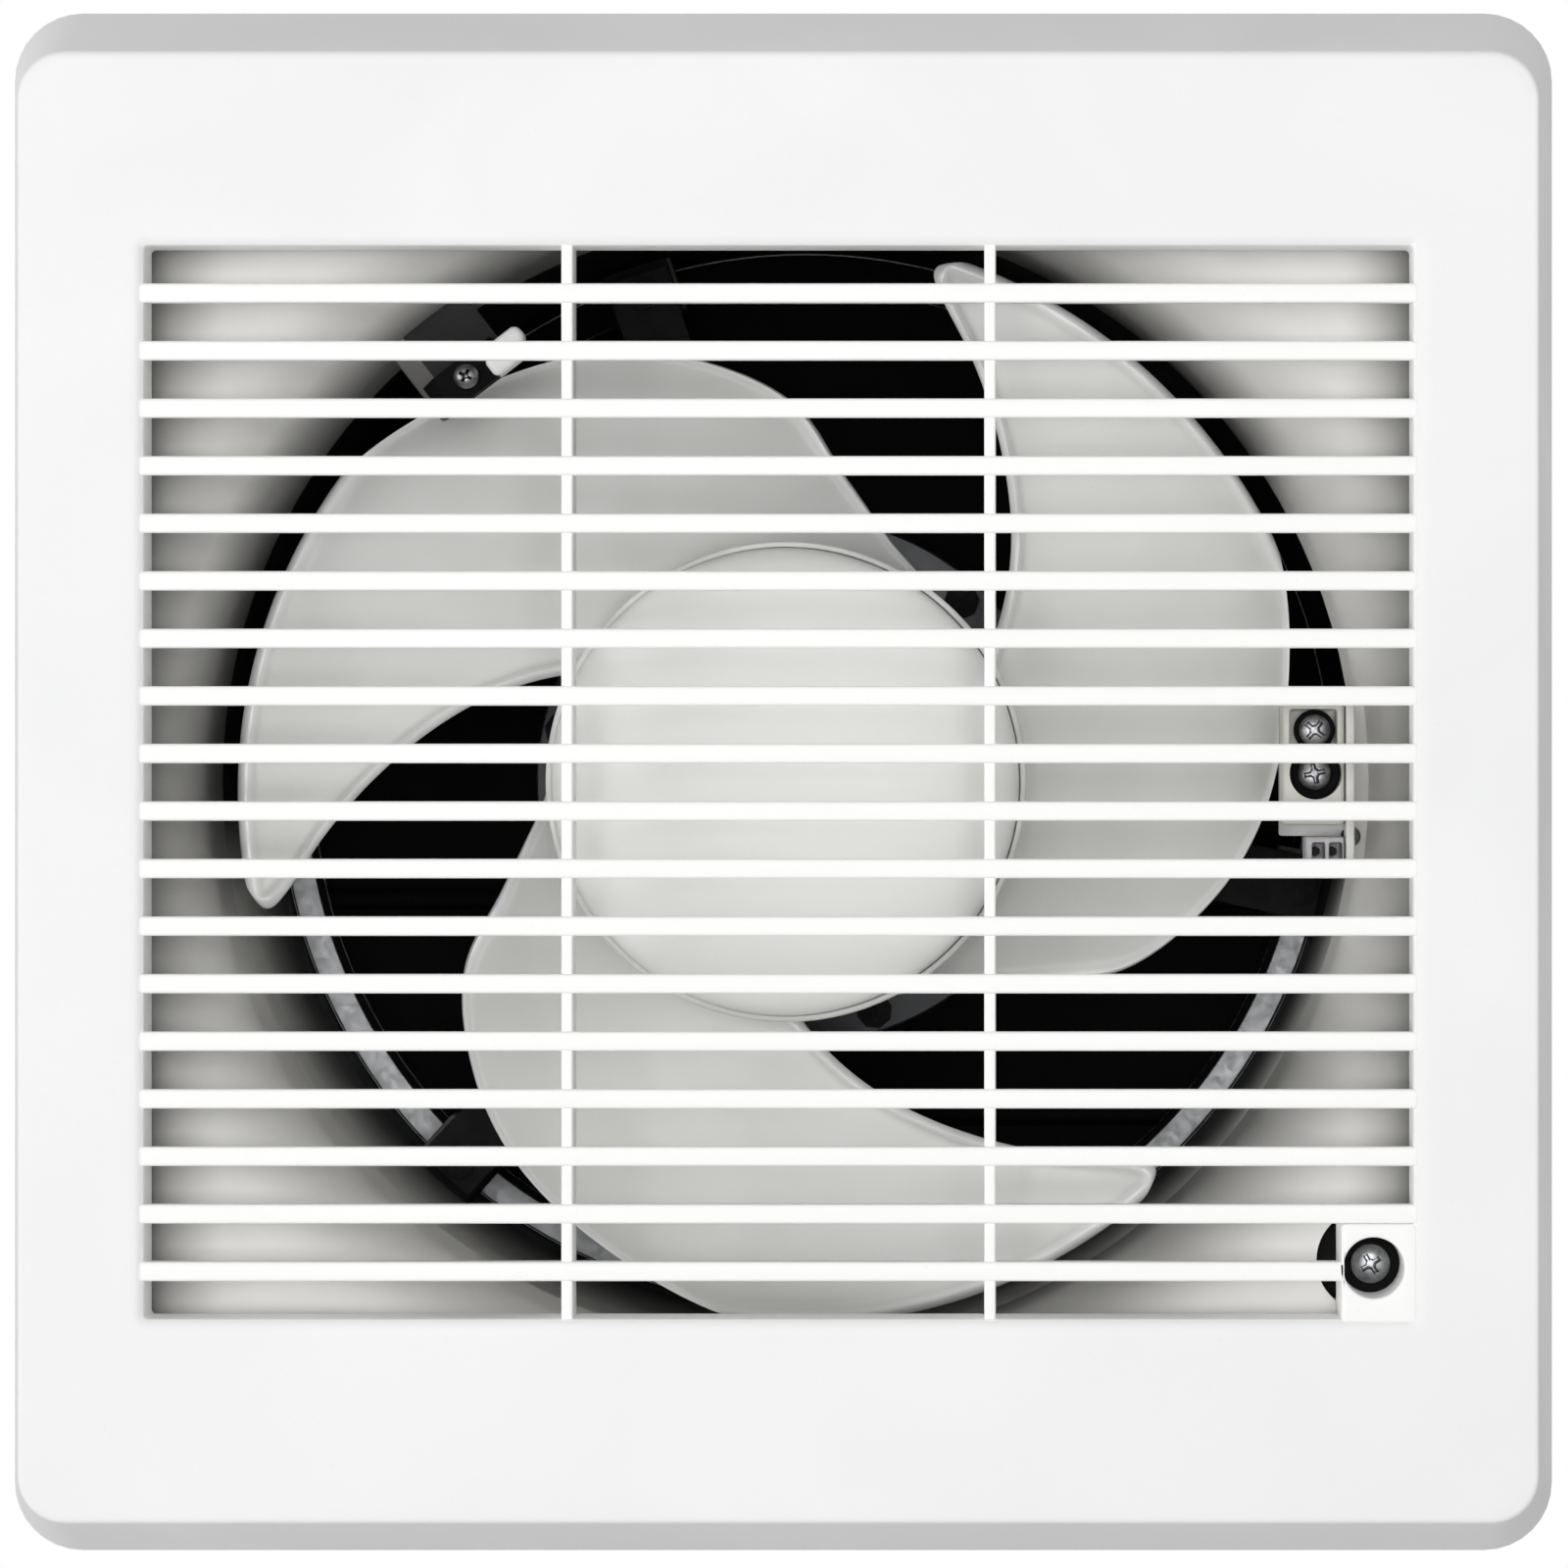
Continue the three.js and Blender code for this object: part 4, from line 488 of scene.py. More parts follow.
def coatedSteel(name, **s):
    # Steel under a thin dark coat: orange peel in the film, and edges rubbed a little brighter.
    return surfaceFinish(name, s, {
        "peel": ("TexNoise", s["peelSize"], {"Detail": 1.5}),
        "scuff": ("TexNoise", s["scuffSize"], {"Detail": 6.0, "Roughness": 0.7}),
    }, [(s["wornColour"], "scuff", 0.58, 0.72, 0, s["wornAmount"])],
        ("scuff", 0.3, 0.7, 0.06, 0.1), ("peel", 0.25, s["peelDepth"]), {"Metallic": s["metallic"]})


# Black-oxide steel of the screws and the motor bracket: nearly black, with a dull grey where it is rubbed.
blackOxideSteel = coatedSteel(
    "blackOxideSteel", colour="#0A0A0B", wornColour="#242427", wornAmount=0.25, peelSize=0.8, peelDepth=0.02,
    scuffSize=5, roughness=0.75, metallic=0.1)

# Dark grey stoved enamel on the deep-drawn motor shells: a glossier coat with a visible orange peel.
stovedMotorEnamel = coatedSteel(
    "darkGreyStovedEnamelOnDrawnSteel", colour="#3A3B3E", wornColour="#62646A", wornAmount=0.3, peelSize=1.6,
    peelDepth=0.03, scuffSize=11, roughness=0.34, metallic=0.3)


def bareMetal(name, **s):
    # Bare or plated metal: short drawn or ground lines along one direction, and a thin uneven film over them.
    return surfaceFinish(name, s, {
        "lines": ("TexNoise", s["lineSpacing"], {"Detail": 4.0}, s["lineStretch"]),
        "film": ("TexNoise", s["filmSize"], {"Detail": 3.0, "Distortion": 0.4}),
    }, [(s["filmColour"], "film", 0.35, 0.65, 0, 1)],
        ("lines", 0.3, 0.7, 0.07, 0.07), ("lines", 0.25, s["lineDepth"]), {"Metallic": 1.0})


# Bright zinc plating on the screws: silvery with a faint blue-yellow passivation film.
zincPlatedSteel = bareMetal(
    "brightZincPlatedSteel", colour="#B4B6B8", filmColour="#ABABA2", filmSize=3, lineSpacing=0.5,
    lineStretch=(1.0, 0.3, 1.0), lineDepth=0.01, roughness=0.3)

# Galvanised steel of the rail at the sleeve's end: a dull spangled zinc, laid on the duct's lower half only
# as painted light.
galvanisedSteel = bareMetal(
    "galvanisedSteel", colour="#B2B3B5", filmColour="#A3A4A5", filmSize=7, lineSpacing=1.5,
    lineStretch=(1.0, 1.0, 1.0), lineDepth=0.01, roughness=0.5)

# Smoke-passivated zinc on the screws of the room side: a grey, slightly patchy film that still glints.
smokedZincSteel = bareMetal(
    "smokedZincPlatedSteel", colour="#A4A5A7", filmColour="#7E7E80", filmSize=2, lineSpacing=0.4,
    lineStretch=(1.0, 0.4, 1.0), lineDepth=0.01, roughness=0.36)

# Ground steel of the shaft, pin and bearings: fine rings left by the grinding wheel.
groundSteel = bareMetal(
    "groundBearingSteel", colour="#B8BABE", filmColour="#A9A8A6", filmSize=6, lineSpacing=0.35,
    lineStretch=(0.2, 1.0, 0.2), lineDepth=0.008, roughness=0.22)


def layeredMetal(name, **s):
    # Sheets or wires laid side by side along the fan axis: bands with dark joints between them. A wave
    # repeats every pi / 10 of its scale, which sets the size of one layer.
    return surfaceFinish(name, s, {
        "bands": ("TexWave", s["layer"] * 10 / math.pi, {
            "Distortion": s["waver"], "Detail": 2.0, "Detail Scale": 1.5}),
        "tint": ("TexNoise", s["tintSize"], {"Detail": 3.0}),
    }, [(s["tintColour"], "tint", 0, 1, 0, 1), (s["jointColour"], "bands", 0.05, 0.45, 1, 0)],
        ("tint", 0.3, 0.7, 0.06, 0.08), ("bands", 0.6, s["jointDepth"]), {"Metallic": s["metallic"]})


# Stack of punched electrical steel sheets, 0.5 mm each and drawn at 1 mm so that the layers show.
punchedElectricalSteel = layeredMetal(
    "punchedElectricalSteelStack", colour="#77787B", tintColour="#696765", jointColour="#2C2B2A", layer=1.0,
    waver=0.2, tintSize=8, jointDepth=0.1, roughness=0.42, metallic=0.9)

# Enamelled copper wire wound in turns, 0.5 mm wire drawn at 0.9 mm: amber red under its varnish.
enamelledCopper = layeredMetal(
    "enamelledCopperWire", colour="#B0602C", tintColour="#8C421C", jointColour="#3C170A", layer=0.9,
    waver=2.2, tintSize=4, jointDepth=0.25, roughness=0.3, metallic=0.85)
print("stage: finishes ready", len(bpy.data.materials))

coverSizes = {
    "side": 271.0, "backZ": 2.0, "rise": 22.0, "wall": 2.4, "cornerRadius": 12.0,
    "faceCornerRadius": 8.0, "insetSide": 4.8, "insetTop": 10.2, "insetBottom": 8.4,
    "rim": [(0, 0), (0, 0.05), (0.03, 0.09), (0.92, 0.945), (0.99, 0.99), (1.1, 1), (1.4, 1)],
    "openingWidth": 218.4, "openingHeight": 184.65, "openingRadius": 0.8, "edgeWidth": 2.6,
    "edgeDepth": 1.3, "lipWall": 2.2, "lipBackZ": 15.0, "hookXs": (-70, 70), "hookHalf": 5,
    "hookBars": [((116.2, 5.6), (118, 22.0)), ((117.4, 5.6), (119, 8.4))], "postX": 118, "postY": 115.5,
    "post": [(1e-4, 11.3), (2.6, 11.3), (3, 11.7), (3, 22.0), (1e-4, 22.0)],
}
grilleSizes = {
    "slats": 18, "pitch": 9.9, "firstY": 84.15, "height": 3.45, "backHeight": 2.2, "frontZ": 23.6,
    "depth": 8.0, "edgeRadius": 0.55, "rooted": 0.8, "ribX": 36.4, "ribWidth": 2.0, "ribFrontZ": 23.0,
    "ribBackZ": 15.6,
}
screwBlockSizes = {
    "left": 96.8, "right": 109.9, "bottom": -93.0, "top": -75.975, "backZ": 11.3, "frontZ": 23.6,
    "screwX": 102.4, "screwY": -83.525, "boreRadius": 5.25, "boreZ": 15.0, "holeRadius": 2.2,
    "edgeRadius": 0.5, "cornerRadius": 0.8, "boreEdge": 0.4,
}
screwPlace = (screwBlockSizes["screwX"], screwBlockSizes["screwY"])


def coverRing(share, up, wall=0.0):
    # outline of the cover part-way up its rim: the inset grows with the share, differently per side
    s = coverSizes
    side = s["side"] / 2 - s["insetSide"] * share - wall
    top = s["side"] / 2 - s["insetTop"] * share - wall
    bottom = -s["side"] / 2 + s["insetBottom"] * share + wall
    blend = min(share, 1.0)
    radius = s["cornerRadius"] * (1 - blend) + s["faceCornerRadius"] * blend - wall / 2
    z = s["backZ"] + s["rise"] * up
    return rectangleRing(side, (top - bottom) / 2, radius, z, (0, (top + bottom) / 2), 8, 24)


def openingRing(grow, z):
    # outline of the opening, grown on every side
    s = coverSizes
    width, height = s["openingWidth"] / 2 + grow, s["openingHeight"] / 2 + grow
    return rectangleRing(width, height, s["openingRadius"] + grow, z, (0, 0), 8, 24)


def coverShell():
    # section through the rim, face, rounded opening edge and lip, carried round the square as one closed skin
    s = coverSizes
    frontZ, lipZ, wall = s["backZ"] + s["rise"], s["lipBackZ"], s["lipWall"]
    opening = [(s["edgeWidth"] + 1.2, frontZ)]
    opening += [(s["edgeWidth"] * inset, frontZ - s["edgeDepth"] * fall) for inset, fall in quarter(7)]
    opening += [(0, lipZ + 0.4), (0.4, lipZ), (wall - 0.3, lipZ), (wall, lipZ + 0.3)]
    opening.append((wall, frontZ - s["wall"]))
    underside = (frontZ - s["wall"] - s["backZ"]) / s["rise"]
    rings = [coverRing(share, up) for share, up in softened(s["rim"])]
    rings += [openingRing(*level) for level in opening]
    rings += [coverRing(*level, s["wall"]) for level in ((1.0, underside), (0.75, 0.72), (0, 0.07), (0, 0))]
    return loft(rings, closed=True)


def slatShell(y):
    # wedge section, taller at the front, with rounded edges, carried across the opening; the slat beside the
    # screw block ends in it
    s, block = grilleSizes, screwBlockSizes
    front, back, backZ, r = s["height"] / 2, s["backHeight"] / 2, s["frontZ"] - s["depth"], s["edgeRadius"]
    corners = [
        (y + front, s["frontZ"], r), (y - front, s["frontZ"], r), (y - back, backZ, 0.35),
        (y + back, backZ, 0.35),
    ]
    reach = coverSizes["openingWidth"] / 2 + s["rooted"]
    beside = block["bottom"] < y < block["top"]
    return extruded(roundedProfile(corners), -reach, block["left"] + 0.3 if beside else reach)


def ribShell(x):
    # rounded upright bar from lip to lip
    s = grilleSizes
    reach, half = coverSizes["openingHeight"] / 2 + s["rooted"], s["ribWidth"] / 2
    section = boxSection(x + half, x - half, s["ribFrontZ"], s["ribBackZ"], 0.4, 0.3)
    return extruded(section, -reach, reach, "y")


def screwBlockShell():
    # closed skin: outer walls, rounded front edge, counterbore, seat and through hole
    s = screwBlockSizes
    middle = ((s["left"] + s["right"]) / 2, (s["bottom"] + s["top"]) / 2)
    half = ((s["right"] - s["left"]) / 2, (s["top"] - s["bottom"]) / 2)
    edge, boreRadius, boreEdge, frontZ = s["edgeRadius"], s["boreRadius"], s["boreEdge"], s["frontZ"]

    def outline(inset, z):
        # rounded rectangle about the block's middle, less the inset on every side
        return rectangleRing(half[0] - inset, half[1] - inset, s["cornerRadius"], z, middle, 4, 12)

    def bore(radius, z):
        # circle about the screw's axis whose points join those of the outline
        return circleRing(radius, z, outline(0, 0), screwPlace)

    rings = [bore(s["holeRadius"], s["backZ"]), outline(0, s["backZ"])]
    rings += [outline(edge * inset, frontZ - edge * fall) for fall, inset in quarter(5)]
    rings += [bore(boreRadius + boreEdge * inset, frontZ - boreEdge * fall) for inset, fall in quarter(5)]
    return loft(rings + [bore(boreRadius, s["boreZ"]), bore(s["holeRadius"], s["boreZ"])], closed=True)


def coverFittings():
    # two hooks behind the top edge and four posts that rest on the housing
    s = coverSizes
    fittings = []
    for x in s["hookXs"]:
        left, right = x - s["hookHalf"], x + s["hookHalf"]
        fittings += [bar((left, *low), (right, *high), 0.3) for low, high in s["hookBars"]]
    for x in (-s["postX"], s["postX"]):
        fittings += [lathe(s["post"], 24, False, (x, y)) for y in (-s["postY"], s["postY"])]
    return fittings


slats = [slatShell(grilleSizes["firstY"] - i * grilleSizes["pitch"]) for i in range(grilleSizes["slats"])]
ribs = [ribShell(side * grilleSizes["ribX"]) for side in (-1, 1)]
addPiece("louvredCover", [coverShell(), screwBlockShell()] + slats + ribs + coverFittings(), whiteAbs,
         "cover_plastic", "front_cover", sharp=40)
print("stage: front cover")

crossRecess = {"cross": True, "arm": 0.56, "half": 0.13, "core": 0.26, "depth": 1.5}
slotRecess = {"cross": False, "arm": 0.94, "half": 0.12, "core": 0.1, "depth": 1.1}
screwSizes = {"headRadius": 3.4, "headHeight": 2.3, "shankRadius": 1.8, "pitch": 1.4, "threadDepth": 0.18}


def screwHead(radius, seatZ, centre, recess, tilt, rings=40, count=120):
    # Polar height field: a flattened dome, less a driver recess that is deepest where both arms cross.
    # The distance to the nearer arm's edge gives the recess its steep, slightly tapered walls.
    share = np.linspace(0, 1, rings) ** 0.8
    angles = np.linspace(0, 2 * np.pi, count, endpoint=False)
    r, a = np.meshgrid(share * radius, angles, indexing="ij")
    u, v = r * np.cos(a), r * np.sin(a)
    dome = seatZ + screwSizes["headHeight"] * (1 - 0.55 * (r / radius) ** 3.2)
    arm, half = recess["arm"] * radius, recess["half"] * radius
    edge = np.maximum(np.abs(u) - arm, np.abs(v) - half)
    if recess["cross"]:
        across = np.maximum(np.abs(v) - arm, np.abs(u) - half)
        edge = np.minimum(np.minimum(edge, across), np.hypot(u, v) - recess["core"] * radius)
    sunk = np.clip(-edge * 5.0, 0, recess["depth"])
    turn = math.radians(tilt)
    x = centre[0] + u * math.cos(turn) - v * math.sin(turn)
    y = centre[1] + u * math.sin(turn) + v * math.cos(turn)
    top = np.stack([x, y, dome - sunk], axis=-1)
    rim = np.stack([x[-1], y[-1], np.full(count, seatZ)], axis=-1)
    return loft(np.concatenate([top, rim[None]], axis=0))


def shank(seatZ, length, centre):
    # thread drawn as a stack of shallow ridges, a cosine of the height with one ridge for each turn
    s = screwSizes
    z = np.linspace(seatZ, seatZ - length + 1.2, int(length * 8))
    ridge = s["shankRadius"] - s["threadDepth"] * (0.5 + 0.5 * np.cos(2 * np.pi * (z - seatZ) / s["pitch"]))
    profile = [(1e-4, seatZ), *zip(ridge, z), (0.5, seatZ - length), (1e-4, seatZ - length)]
    return lathe(profile, 24, False, centre)


def panScrew(seatZ, length, centre, tilt, headRadius=screwSizes["headRadius"], recess=crossRecess):
    # head and threaded shank on one axis
    return [screwHead(headRadius, seatZ, centre, recess, tilt), shank(seatZ, length, centre)]


coverScrewSizes = {"seatZ": 15.3, "length": 9.0, "tilt": 32, "washer": (3.0, 5.15), "washerZ": (15.03, 15.27)}


def coverScrew():
    # screw with a flat washer under its head; the washer's black is painted shade in the counterbore
    s = coverScrewSizes
    (inner, outer), (low, high) = s["washer"], s["washerZ"]
    washer = [(inner, low), (outer, low), (outer, high), (inner, high)]
    addPiece("coverScrew", panScrew(s["seatZ"], s["length"], screwPlace, s["tilt"]), smokedZincSteel,
             "zinc_steel", "cover_screw", sharp=50)
    addPiece("coverScrewShadeWasher", [lathe(washer, 64, True, screwPlace)], blackPolystyrene,
             "black_plastic", "cover_screw", sharp=50)


coverScrew()

housingSizes = {
    "plateZ": 11.0, "wall": 2.2, "width": 254.0, "height": 249.0, "cornerRadius": 8.0, "flange": 263.0,
    "flangeZ": 2.8, "flangeWall": 2.2, "flangeHole": 118.0, "throatRadius": 102.5, "throatZ": -5.0,
    "bellRadial": 18.5, "bellAxial": 16.0, "edgeRadius": 1.2, "skirt": (102.0, 103.6), "skirtZ": -16.0,
    "postRadius": 4.4, "postMoat": (4.9, 9.0), "cordEntry": (-117.5, 64), "leadHole": (100.7, -5.5),
}
wiringBoxSizes = {
    "reach": 105.5, "inner": 87.6, "lowerInner": 92.4, "top": 14.0, "step": -9.6, "bottom": -15.6,
    "floorZ": (-2.0, 0.0), "wallX": (98.8, 100.3), "wallTopZ": 8.5,
}
tieSizes = {"circle": 110.2, "bossRadius": 4.5, "bossZ": (-5.0, 3.48), "count": 4, "firstAngle": 45}
clampSizes = {
    "angle": 128, "radius": 90.5, "lug": (87.4, 105.5), "lugWidth": 17.0, "saddleWidth": 6.8,
    "saddleLength": 15.0, "rise": 4.0, "backZ": 0.3, "padSide": (-8.4, 4.8), "padReach": (87.6, 105.2),
    "jawReach": (87.0, 92.6), "jawSide": (-11.4, -3.9), "screwRadius": 2.2,
}
terminalSizes = {
    "left": 87.6, "right": 98.5, "bottom": -7.6, "top": 14.0, "backZ": 0.3, "frontZ": 8.3, "wall": 1.2,
    "wellZ": 3.3, "wellBottom": 5.5, "boreRadius": 4.6, "screwX": 93.5, "screwYs": (1.5, 9.1),
    "seatZ": 3.6, "screwLengths": (6.0, 5.2), "shadeRingRadii": ((3.15, 4.55), (2.75, 3.6)), "shadeRingZ": 5.4,
}
terminalScrewPlaces = [(terminalSizes["screwX"], y) for y in terminalSizes["screwYs"]]
tiePlaces = [onCircle(tieSizes["circle"], tieSizes["firstAngle"] + 360 / tieSizes["count"] * i)
             for i in range(tieSizes["count"])]


def housingShell():
    # section: bell mouth (a quarter ellipse), plate, side wall, flange and back again, and the short skirt
    # that slips into the duct sleeve, carried round as one skin; its rings change from circles at the throat
    # to rounded squares at the rim
    s = housingSizes
    bell, wall, r, plateZ = s["throatRadius"] + s["bellRadial"], s["wall"], s["edgeRadius"], s["plateZ"]
    flangeFront = s["flangeZ"] + s["flangeWall"]
    (skirtIn, skirtOut), skirtZ = s["skirt"], s["skirtZ"]
    size = (s["width"], s["height"])
    like = squares(*size, s["cornerRadius"], (0, 0))[0]

    def bellRings(radial, axial):
        # quarter ellipse: the inset grows with the sine of a turn, and the height falls with its cosine
        turn = np.linspace(0, np.pi / 2, 19)
        return circles(like, bell, *[(radial * math.sin(a), s["throatZ"] + axial * math.cos(a)) for a in turn])

    rings = bellRings(s["bellRadial"], s["bellAxial"])[::-1] + circles(like, bell + 1.0, (0, plateZ))
    edge = [(r * inset, plateZ - r * fall) for inset, fall in quarter(5)]
    rings += squares(*size, s["cornerRadius"], *edge, (0, flangeFront))
    rings += squares(s["flange"], s["flange"], s["cornerRadius"],
                     (0.3, flangeFront), (0, flangeFront - 0.3), (0, s["flangeZ"]))
    rings += circles(like, s["flangeHole"], (0, s["flangeZ"]), (0, flangeFront))
    rings += squares(*size, s["cornerRadius"] - wall, (wall, flangeFront), (wall, plateZ - wall))
    rings += circles(like, bell + 1.0, (0, plateZ - wall))
    rings += bellRings(s["bellRadial"] - wall, s["bellAxial"] - wall)
    rings += circles(like, skirtOut, (0, s["throatZ"] - 0.1), (0, skirtZ + 0.3), (0.3, skirtZ))
    return loft(rings + circles(like, skirtIn, (-0.3, skirtZ), (0, skirtZ + 0.3)), closed=True)


def housingDetails():
    # wiring box floor, step and wall, cord clamp lug, screw post and four tie bosses
    w, c, s = wiringBoxSizes, clampSizes, housingSizes
    (low, high), (wallLeft, wallRight), (lugNear, lugFar) = w["floorZ"], w["wallX"], c["lug"]
    details = [
        bar((w["inner"], w["step"], low), (w["reach"], w["top"], high), 0.35),
        bar((w["lowerInner"], w["bottom"], low), (w["reach"], w["step"] + 1, high), 0.35),
        bar((wallLeft, w["bottom"], low), (wallRight, w["top"], w["wallTopZ"]), 0.3),
        spun(bar((lugNear, -c["lugWidth"] / 2, low), (lugFar, c["lugWidth"] / 2, high), 0.5), c["angle"]),
        rod(s["postRadius"], s["flangeZ"] + 0.5, s["plateZ"], screwPlace),
    ]
    return details + [rod(tieSizes["bossRadius"], *tieSizes["bossZ"], place) for place in tiePlaces]


def housingHoles():
    # clearance ring round the screw post, hook slots, thread holes, cord entry and the lead's hole
    (x, y), s = screwPlace, housingSizes
    near, far = s["postMoat"]
    moat = lathe([(near, 8.0), (far, 8.0), (far, 12.0), (near, 12.0)], 48, True, (x, y))
    holes = [moat, screwHole(5.0, 12.0, (x, y))]
    holes.append(bar((x - far, y - 7.5, 2.0), (x - near, y + 7.5, 6.0), 0.3))
    holes += [bar((hook - 5.5, 115.7, 8.0), (hook + 5.5, 119.5, 12.0), 0.05) for hook in coverSizes["hookXs"]]
    holes += [screwHole(-6, 2.2, place) for place in tiePlaces]
    holes += [screwHole(-3, 1, place) for place in terminalScrewPlaces]
    holes.append(screwHole(-3, 1, onCircle(clampSizes["radius"], clampSizes["angle"])))
    holes.append(screwHole(8.0, 12.0, s["cordEntry"], 5.0, 32))
    return holes + [screwHole(-3, 3.5, onCircle(*s["leadHole"]), 1.8)]


addPiece("bellMouthHousing", [housingShell()] + housingDetails(), warmGreyAbs, "housing_plastic",
         "fan_housing", cutters=housingHoles(), sharp=30)
print("stage: fan housing")


def terminalCover():
    # cap with a round well for its lower screw and a square one for the upper, and a black ring round each
    # screw whose black is painted shade in its well
    s = terminalSizes
    wall, wellZ, above = s["wall"], s["wellZ"], s["frontZ"] + 2
    body = bar((s["left"], s["bottom"], s["backZ"]), (s["right"], s["top"], s["frontZ"]), 0.7, 4)
    well = bar((s["left"] + wall, s["wellBottom"], wellZ), (s["right"] - wall, s["top"] - wall, above), 0.5)
    bore = rod(s["boreRadius"], wellZ, above, terminalScrewPlaces[0], 64, 0.2)
    holes = [screwHole(s["backZ"] - 1, wellZ + 1, place, count=24) for place in terminalScrewPlaces]
    addPiece("terminalCoverCap", [body], stoneGreyPolycarbonate, "terminal_plastic", "terminal_cover",
             cutters=[well, bore] + holes, sharp=40)
    shadeRings = [lathe(boxSection(*radii, wellZ + 0.02, s["shadeRingZ"], 0.1, 0.3), 48, centre=place)
             for radii, place in zip(s["shadeRingRadii"], terminalScrewPlaces)]
    addPiece("terminalScrewShadeRings", shadeRings, blackPolystyrene, "black_plastic", "terminal_cover", sharp=40)
    for i, (length, place) in enumerate(zip(s["screwLengths"], terminalScrewPlaces)):
        screw = panScrew(s["seatZ"], length, place, 12 + 40 * i)
        addPiece(f"terminalCoverScrew{i + 1}", screw, smokedZincSteel, "zinc_steel",
                 f"terminal_cover_screw_{i + 1}", sharp=50)


blockSizes = {
    "left": 91.7, "right": 98.5, "bottom": -14.8, "top": -9.6, "backZ": 0.3, "frontZ": 7.8,
    "holeXs": (94.0, 97.0), "holeY": -12.3, "holeHalf": (1.2, 1.75), "holeDepth": 5.0,
}


def terminalBlock():
    # rounded block with two wire holes
    s = blockSizes
    body = bar((s["left"], s["bottom"], s["backZ"]), (s["right"], s["top"], s["frontZ"]), 0.35)
    (w, h), low, high = s["holeHalf"], s["frontZ"] - s["holeDepth"], s["frontZ"] + 1
    holes = [bar((x - w, s["holeY"] - h, low), (x + w, s["holeY"] + h, high), 0.4) for x in s["holeXs"]]
    addPiece("terminalBlockBody", [body], greyNylon, "terminal_plastic", "terminal_block",
             cutters=holes, sharp=40)


def cordClamp():
    # black saddle with sloping ends and a dished seat for its screw, a rubber pad under it, and at its far
    # end the white jaw that would grip the cord; all drawn at 3 o'clock and turned to their place
    s = clampSizes
    half, rise, back, middle = s["saddleLength"] / 2, s["rise"], s["backZ"], s["radius"]
    halfWidth, seat = s["saddleWidth"] / 2, back + rise - 1.8
    corners = [
        (-half, back, 0.3), (-half + 2.4, back, 0.3), (-half + 3.6, seat, 0.5), (half - 3.6, seat, 0.5),
        (half - 2.4, back, 0.3), (half, back, 0.3), (half, back + 1.8, 0.6),
        (half - 2.4, back + rise, 0.9), (-half + 2.4, back + rise, 0.9), (-half, back + 1.8, 0.6),
    ]
    (padLow, padHigh), (padNear, padFar) = s["padSide"], s["padReach"]
    (jawNear, jawFar), (jawLow, jawHigh) = s["jawReach"], s["jawSide"]
    saddle = [extruded(roundedProfile(corners), middle - halfWidth, middle + halfWidth)]
    hole = spun(screwHole(back - 1, back + rise + 1, (middle, 0), count=24), s["angle"])
    pad = [bar((padNear, padLow, 0.03), (padFar, padHigh, back - 0.04), 0.1)]
    jaw = [bar((jawNear, jawLow, back), (jawFar - 1.6, jawHigh, back + rise + 0.6), 1.0, 4),
           bar((jawFar - 3.4, jawLow - 1.2, back), (jawFar, jawHigh - 2.2, back + rise + 1.4), 1.2, 4)]
    screw = panScrew(back + rise + 0.3, 5.8, (middle, 0), 25, s["screwRadius"])
    for name, shells, material, slot, node, cutters, sharp in (
            ("cordClampSaddle", saddle, blackPolystyrene, "black_plastic", "cord_clamp", [hole], 40),
            ("cordClampPad", pad, epdmRubber, "seal_rubber", "cord_clamp", (), 40),
            ("cordClampJaw", jaw, whiteAbs, "cover_plastic", "cord_clamp", (), 40),
            ("cordClampScrew", screw, smokedZincSteel, "black_steel", "clamp_screw", (), 50)):
        turned = [spun(shell, s["angle"]) for shell in shells]
        addPiece(name, turned, material, slot, node, cutters=cutters, sharp=sharp)


terminalCover()
terminalBlock()
cordClamp()
print("stage: wiring box and cord clamp")

impellerSizes = {
    "blades": 3, "hubRadius": 42.9, "hubWall": 1.1, "tipRadius": 98.0, "frontZ": -6.0,
    "pitchPerRadian": 16.0, "referenceAngle": 74.0, "camber": 2.6, "thickness": 1.9, "bead": 1.1,
    "beadWidth": 1.7, "beadBand": 3.0, "hubFrontZ": -6.2, "hubBackZ": -46.5, "webZ": -17.0,
    "webBackZ": -19.5, "bossRadius": 9.0, "boreRadius": 4.3, "hubRibs": 6,
    "leading": [(0, 33), (0.25, 45), (0.5, 56.9), (0.75, 67.6), (0.88, 72.6), (0.96, 73.6), (1, 70)],
    "trailing": [(0, -66), (0.08, -53), (0.25, -40.2), (0.48, -30.5), (0.62, -20.5), (0.76, -7.6),
                 (0.87, 8.5), (0.95, 19.5), (1, 28)],
}


def smoothCurve(pairs, shares):
    # cubic through the given (share, value) pairs whose slope at each pair is that of its two neighbours
    x, y = np.array(pairs, dtype=float).T
    slope = np.empty_like(x)
    slope[1:-1] = (y[2:] - y[:-2]) / (x[2:] - x[:-2])
    slope[0], slope[-1] = (y[1] - y[0]) / (x[1] - x[0]), (y[-1] - y[-2]) / (x[-1] - x[-2])
    i = np.clip(np.searchsorted(x, shares, side="left") - 1, 0, len(x) - 2)
    width = x[i + 1] - x[i]
    t = (shares - x[i]) / width
    rise, leave, arrive = (3 - 2 * t) * t * t, t * (1 - t) ** 2, t * t * (t - 1)
    curve = y[i] + (y[i + 1] - y[i]) * rise + width * (slope[i] * leave + slope[i + 1] * arrive)
    return np.where(shares < 0, y[0] + slope[0] * shares, curve)


